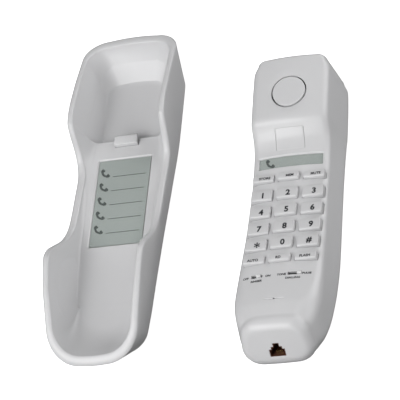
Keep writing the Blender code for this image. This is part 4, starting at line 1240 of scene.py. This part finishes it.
def keys():
    """The keycaps with their legends."""
    shifts = {FUNCTION_ROWS[0]: UPPER_LEGEND_SHIFT, FUNCTION_ROWS[1]: LOWER_LEGEND_SHIFT}
    for name, x, v, width, depth in key_layout():
        place = keypad_place(x, v, 0)
        top = height_at(0, 0, place, -KEYPAD_LEAN) + KEY_PROUD
        node = f"key_{name}"
        cap = as_object(node + "_fine", keycap(width, depth, top), in_handset(place, -KEYPAD_LEAN))
        finish(cap, LOOKS["key"], node, node, slot="key")
        digit = depth == KEY_SIZE[1]
        size, bold = (DIGIT_TEXT, DIGIT_BOLD) if digit else (FUNCTION_TEXT, FUNCTION_BOLD)
        shift = shifts.get(v, DIGIT_SHIFT)
        matrix = in_handset(place, -KEYPAD_LEAN) @ Matrix.Translation((*shift, top))
        if name == "star":
            size, bold = STAR_TEXT, STAR_BOLD
        text = lettering(LEGENDS.get(name, name), size, bold)
        finish(as_object(f"legend_{name}", text, matrix), LOOKS["ink"], node)


def seated(shape, x, y):
    """Bends a flat bmesh about its origin onto the front cover at (x, y)."""
    for vert in shape.verts:
        vert.co.x += x
        vert.co.y += y
        vert.co.z += height_at(vert.co.x, vert.co.y)
    return shape


def switch_legends():
    words = bmesh.new()
    for text, x, y in SWITCH_LEGENDS:
        merge(words, seated(lettering(text, SWITCH_TEXT, SWITCH_BOLD), x, y))
    finish(as_object("switch_legends", words, HANDSET), LOOKS["ink"], "handset")


def skin_slab(half_x, half_y, x, y, top, thick, steps=(14, 10)):
    """A slab whose faces follow the front cover, top and thick measured down from it."""
    wide, deep = steps
    shape = bmesh.new()
    sheets = []
    for drop in (top, top + thick):
        rows = []
        for j in range(deep + 1):
            b = y + half_y * (2 * j / deep - 1)
            row = []
            for i in range(wide + 1):
                a = x + half_x * (2 * i / wide - 1)
                row.append(shape.verts.new((a, b, height_at(a, b) - drop)))
            rows.append(row)
        sheets.append(rows)
    for rows in sheets:
        for j in range(deep):
            for i in range(wide):
                shape.faces.new((rows[j][i], rows[j][i + 1], rows[j + 1][i + 1], rows[j + 1][i]))
    upper, lower = [border(rows) for rows in sheets]
    for k in range(len(upper)):
        following = (k + 1) % len(upper)
        shape.faces.new((upper[k], upper[following], lower[following], lower[k]))
    return shape


def border(rows):
    """The outermost entries of a grid, once round."""
    right = [row[-1] for row in rows[1:-1]]
    left = [row[0] for row in rows[-2:0:-1]]
    return rows[0] + right + rows[-1][::-1] + left


def number_card():
    width, depth = NUMBER_WINDOW
    half, deep = width / 2 - NUMBER_MARGIN, depth / 2 - NUMBER_MARGIN
    slab = skin_slab(half, deep, 0, NUMBER_Y, NUMBER_CHAMFER, NUMBER_THICK)
    pane = soften(as_object("number_window_fine", slab, HANDSET), 0.15)
    finish(pane, LOOKS["window"], "handset", "number_window", slot="window")
    slab = skin_slab(half, deep, 0, NUMBER_Y, NUMBER_SEAT, NUMBER_THICK)
    finish(as_object("number_card_fine", slab, HANDSET), LOOKS["card"], "handset", "number_card", slot="card")
    sign = prism(handset_icon(NUMBER_ICON_SIZE), 0, INK_THICK)
    for vert in sign.verts:
        vert.co.x += NUMBER_ICON_X
        vert.co.y += NUMBER_Y
        vert.co.z += height_at(vert.co.x, vert.co.y) - NUMBER_SEAT
    finish(as_object("number_card_print", sign, HANDSET), LOOKS["card_ink"], "handset")


def hook_key():
    start, stop = HOOK_KEY_Y
    half, deep, middle = HOOK_KEY_WIDTH / 2, (stop - start) / 2, (start + stop) / 2
    slab = skin_slab(half, deep, 0, middle, 0, HOOK_PLATE_THICK, (16, 16))
    plate = soften(as_object("hook_switch_key_fine", slab, HANDSET), 0.12)
    stem = as_object("stem", box(*HOOK_STEM), HANDSET)
    finish(cut(plate, stem, operation="UNION"), LOOKS["housing"], "hook_switch_key", "hook_switch_key",
           slot="housing")


def switch_knob(name, x):
    """A slide knob with three fine ridges across its top."""
    half, deep = KNOB_WIDTH / 2, SLOT_DEPTH / 2 - GAP
    matrix = in_handset((x, SWITCH_Y, height_at(x, SWITCH_Y)))
    rings = []
    for grow_x, grow_y, height in KNOB_LEVELS:
        a, b = half + grow_x, deep + grow_y
        rings.append([(-a, -b, height), (a, -b, height), (a, b, height), (-a, b, height)])
    knob = as_object(name + "_fine", loft(rings), matrix)
    grooves = []
    for offset in KNOB_RIDGES:
        bar = box((offset - KNOB_GROOVE, -2, 0.4), (offset + KNOB_GROOVE, 2, 2))
        grooves.append(as_object("groove", bar, matrix))
    finish(cut(knob, *grooves), LOOKS["knob"], name, name, slot="knob")


def receiver_cap():
    """The flat disc over the receiver, with a rounded rim."""
    radius, top = EAR_CAP_RADIUS - EAR_RING, EAR_CAP_PROUD - EAR_DISH_DEPTH
    profile = [(radius, EAR_CAP_FOOT)]
    for turn in quarter(5):
        profile.append((radius - EAR_CAP_ROUND + EAR_CAP_ROUND * math.cos(turn),
                        top - EAR_CAP_ROUND + EAR_CAP_ROUND * math.sin(turn)))
    profile += [(radius - 1.2, top), (radius * 0.5, top), (0.4, top)]
    cap = as_object("receiver_cap_fine", turned(profile, 96), ear_frame())
    finish(cap, LOOKS["housing"], "handset", "receiver_cap", slot="housing")


def line_jack():
    """The jack's block, with a thin lip that lines the cover's opening."""
    place, lean = jack_frame()
    matrix = in_handset(place, -lean)
    block = as_object("line_jack_fine", box(*JACK_BLOCK), matrix)
    lip = as_object("lip", along_y(jack_outline(-LINER_GAP), 0.35, 4.0), matrix)
    socket = as_object("socket", along_y(jack_outline(-LINER_THICK), -1, JACK_BORE), matrix)
    cut(block, lip, operation="UNION")
    cut(block, socket)
    finish(block, LOOKS["jack"], "handset", "line_jack", slot="jack")


def handset():
    front_cover()
    rear_cover()
    keys()
    switch_legends()
    number_card()
    hook_key()
    switch_knob("ringer_switch_knob", RINGER_KNOB_X)
    switch_knob("dial_switch_knob", DIAL_KNOB_X)
    receiver_cap()
    line_jack()
    for k, (x, y) in enumerate(CASE_SCREWS):
        place = in_handset((x, y, BOSS_FOOT - WALL - HEAD_SEAT))
        screw(f"case_screw_{k + 1}", "handset", place, *CASE_SCREW_RADII, CASE_SCREW_LENGTH)


def repaint_carried_nodes():
    """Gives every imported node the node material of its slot."""
    slots = {row["node"]: row["material_slot"] for row in frame["record"]["subparts"]}
    for node, thing in frame["nodes"].items():
        look = LOOKS[slots[node]]
        for slot in thing.material_slots:
            slot.material = look


# --- floor, light and camera ----------------------------------------------------------------------------


def add_floor():
    bpy.ops.mesh.primitive_plane_add(size=FLOOR_SIZE, location=(0.05, 0, CAD_BOX[0][2] - FLOOR_CLEAR))
    floor = bpy.context.object
    floor.name = "floor"
    made, tree, shader = shader_of("pale_floor", 0.9, specular=0.1)
    cloud = colour_between(tree, noise(tree, scale=3, detail=2), (0.9, 0.9, 0.9), (0.93, 0.93, 0.93))
    tree.links.new(cloud, shader.inputs["Base Color"])
    shader.inputs["Emission Color"].default_value = (1, 1, 1, 1)
    shader.inputs["Emission Strength"].default_value = FLOOR_GLOW
    floor.data.materials.append(made)
    floor.visible_glossy = False
    floor.visible_diffuse = False


def away_at(azimuth, elevation):
    """The direction out from the object at these angles, azimuth 0 being toward the mouth ends."""
    level = math.cos(elevation)
    return Vector((math.sin(azimuth) * level, -math.cos(azimuth) * level, math.sin(elevation)))


def add_softbox(name, azimuth, elevation, size, power):
    """A square area light that looks at the middle of the object, from angles in degrees."""
    light = bpy.data.lights.new(name, "AREA")
    light.shape = "SQUARE"
    light.size = size
    light.energy = power
    thing = bpy.data.objects.new(name, light)
    bpy.context.scene.collection.objects.link(thing)
    away = away_at(math.radians(azimuth), math.radians(elevation))
    thing.location = Vector(MIDDLE) + away * SOFTBOX_DISTANCE
    thing.rotation_euler = away.to_track_quat("Z", "Y").to_euler()


def add_world():
    """A pale surround, a little brighter below the horizon than overhead."""
    world = bpy.data.worlds.new("studio")
    bpy.context.scene.world = world
    world.use_nodes = True
    tree = world.node_tree
    places = tree.nodes.new("ShaderNodeTexCoord")
    parts = tree.nodes.new("ShaderNodeSeparateXYZ")
    height = tree.nodes.new("ShaderNodeMapRange")
    height.inputs["From Min"].default_value = WORLD_BAND[0]
    height.inputs["From Max"].default_value = WORLD_BAND[1]
    height.inputs["To Min"].default_value = WORLD_LOW
    height.inputs["To Max"].default_value = WORLD_HIGH
    tree.links.new(places.outputs["Generated"], parts.inputs["Vector"])
    tree.links.new(parts.outputs["Z"], height.inputs["Value"])
    background = tree.nodes["Background"]
    background.inputs["Color"].default_value = (1, 1, 1, 1)
    tree.links.new(height.outputs["Result"], background.inputs["Strength"])


def add_camera():
    camera = bpy.data.cameras.new("camera")
    camera.lens = CAMERA_LENS
    camera.sensor_width = CAMERA_SENSOR
    thing = bpy.data.objects.new("camera", camera)
    bpy.context.scene.collection.objects.link(thing)
    azimuth, elevation, roll = map(math.radians, CAMERA_ANGLES)
    back = away_at(azimuth, elevation)
    level = Vector((math.cos(azimuth), math.sin(azimuth), 0))
    upright = back.cross(level)
    right = level * math.cos(roll) - upright * math.sin(roll)
    up = level * math.sin(roll) + upright * math.cos(roll)
    turn = Matrix((right, up, back)).transposed().to_4x4()
    thing.matrix_world = Matrix.Translation((Vector(CAMERA_TARGET) + back * CAMERA_DISTANCE) * MM) @ turn
    bpy.context.scene.camera = thing
    bpy.context.scene.view_settings.view_transform = "Standard"


low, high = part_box("handset_rear_cover")
HANDSET = Matrix.Translation(((low.x + high.x) / 2 / MM, 0, low.z / MM))
SKIN = front_skin()
LOOKS = all_looks()

add_camera()
add_world()
add_floor()
for softbox in SOFTBOXES:
    add_softbox(*softbox)
repaint_carried_nodes()
cradle()
handset()
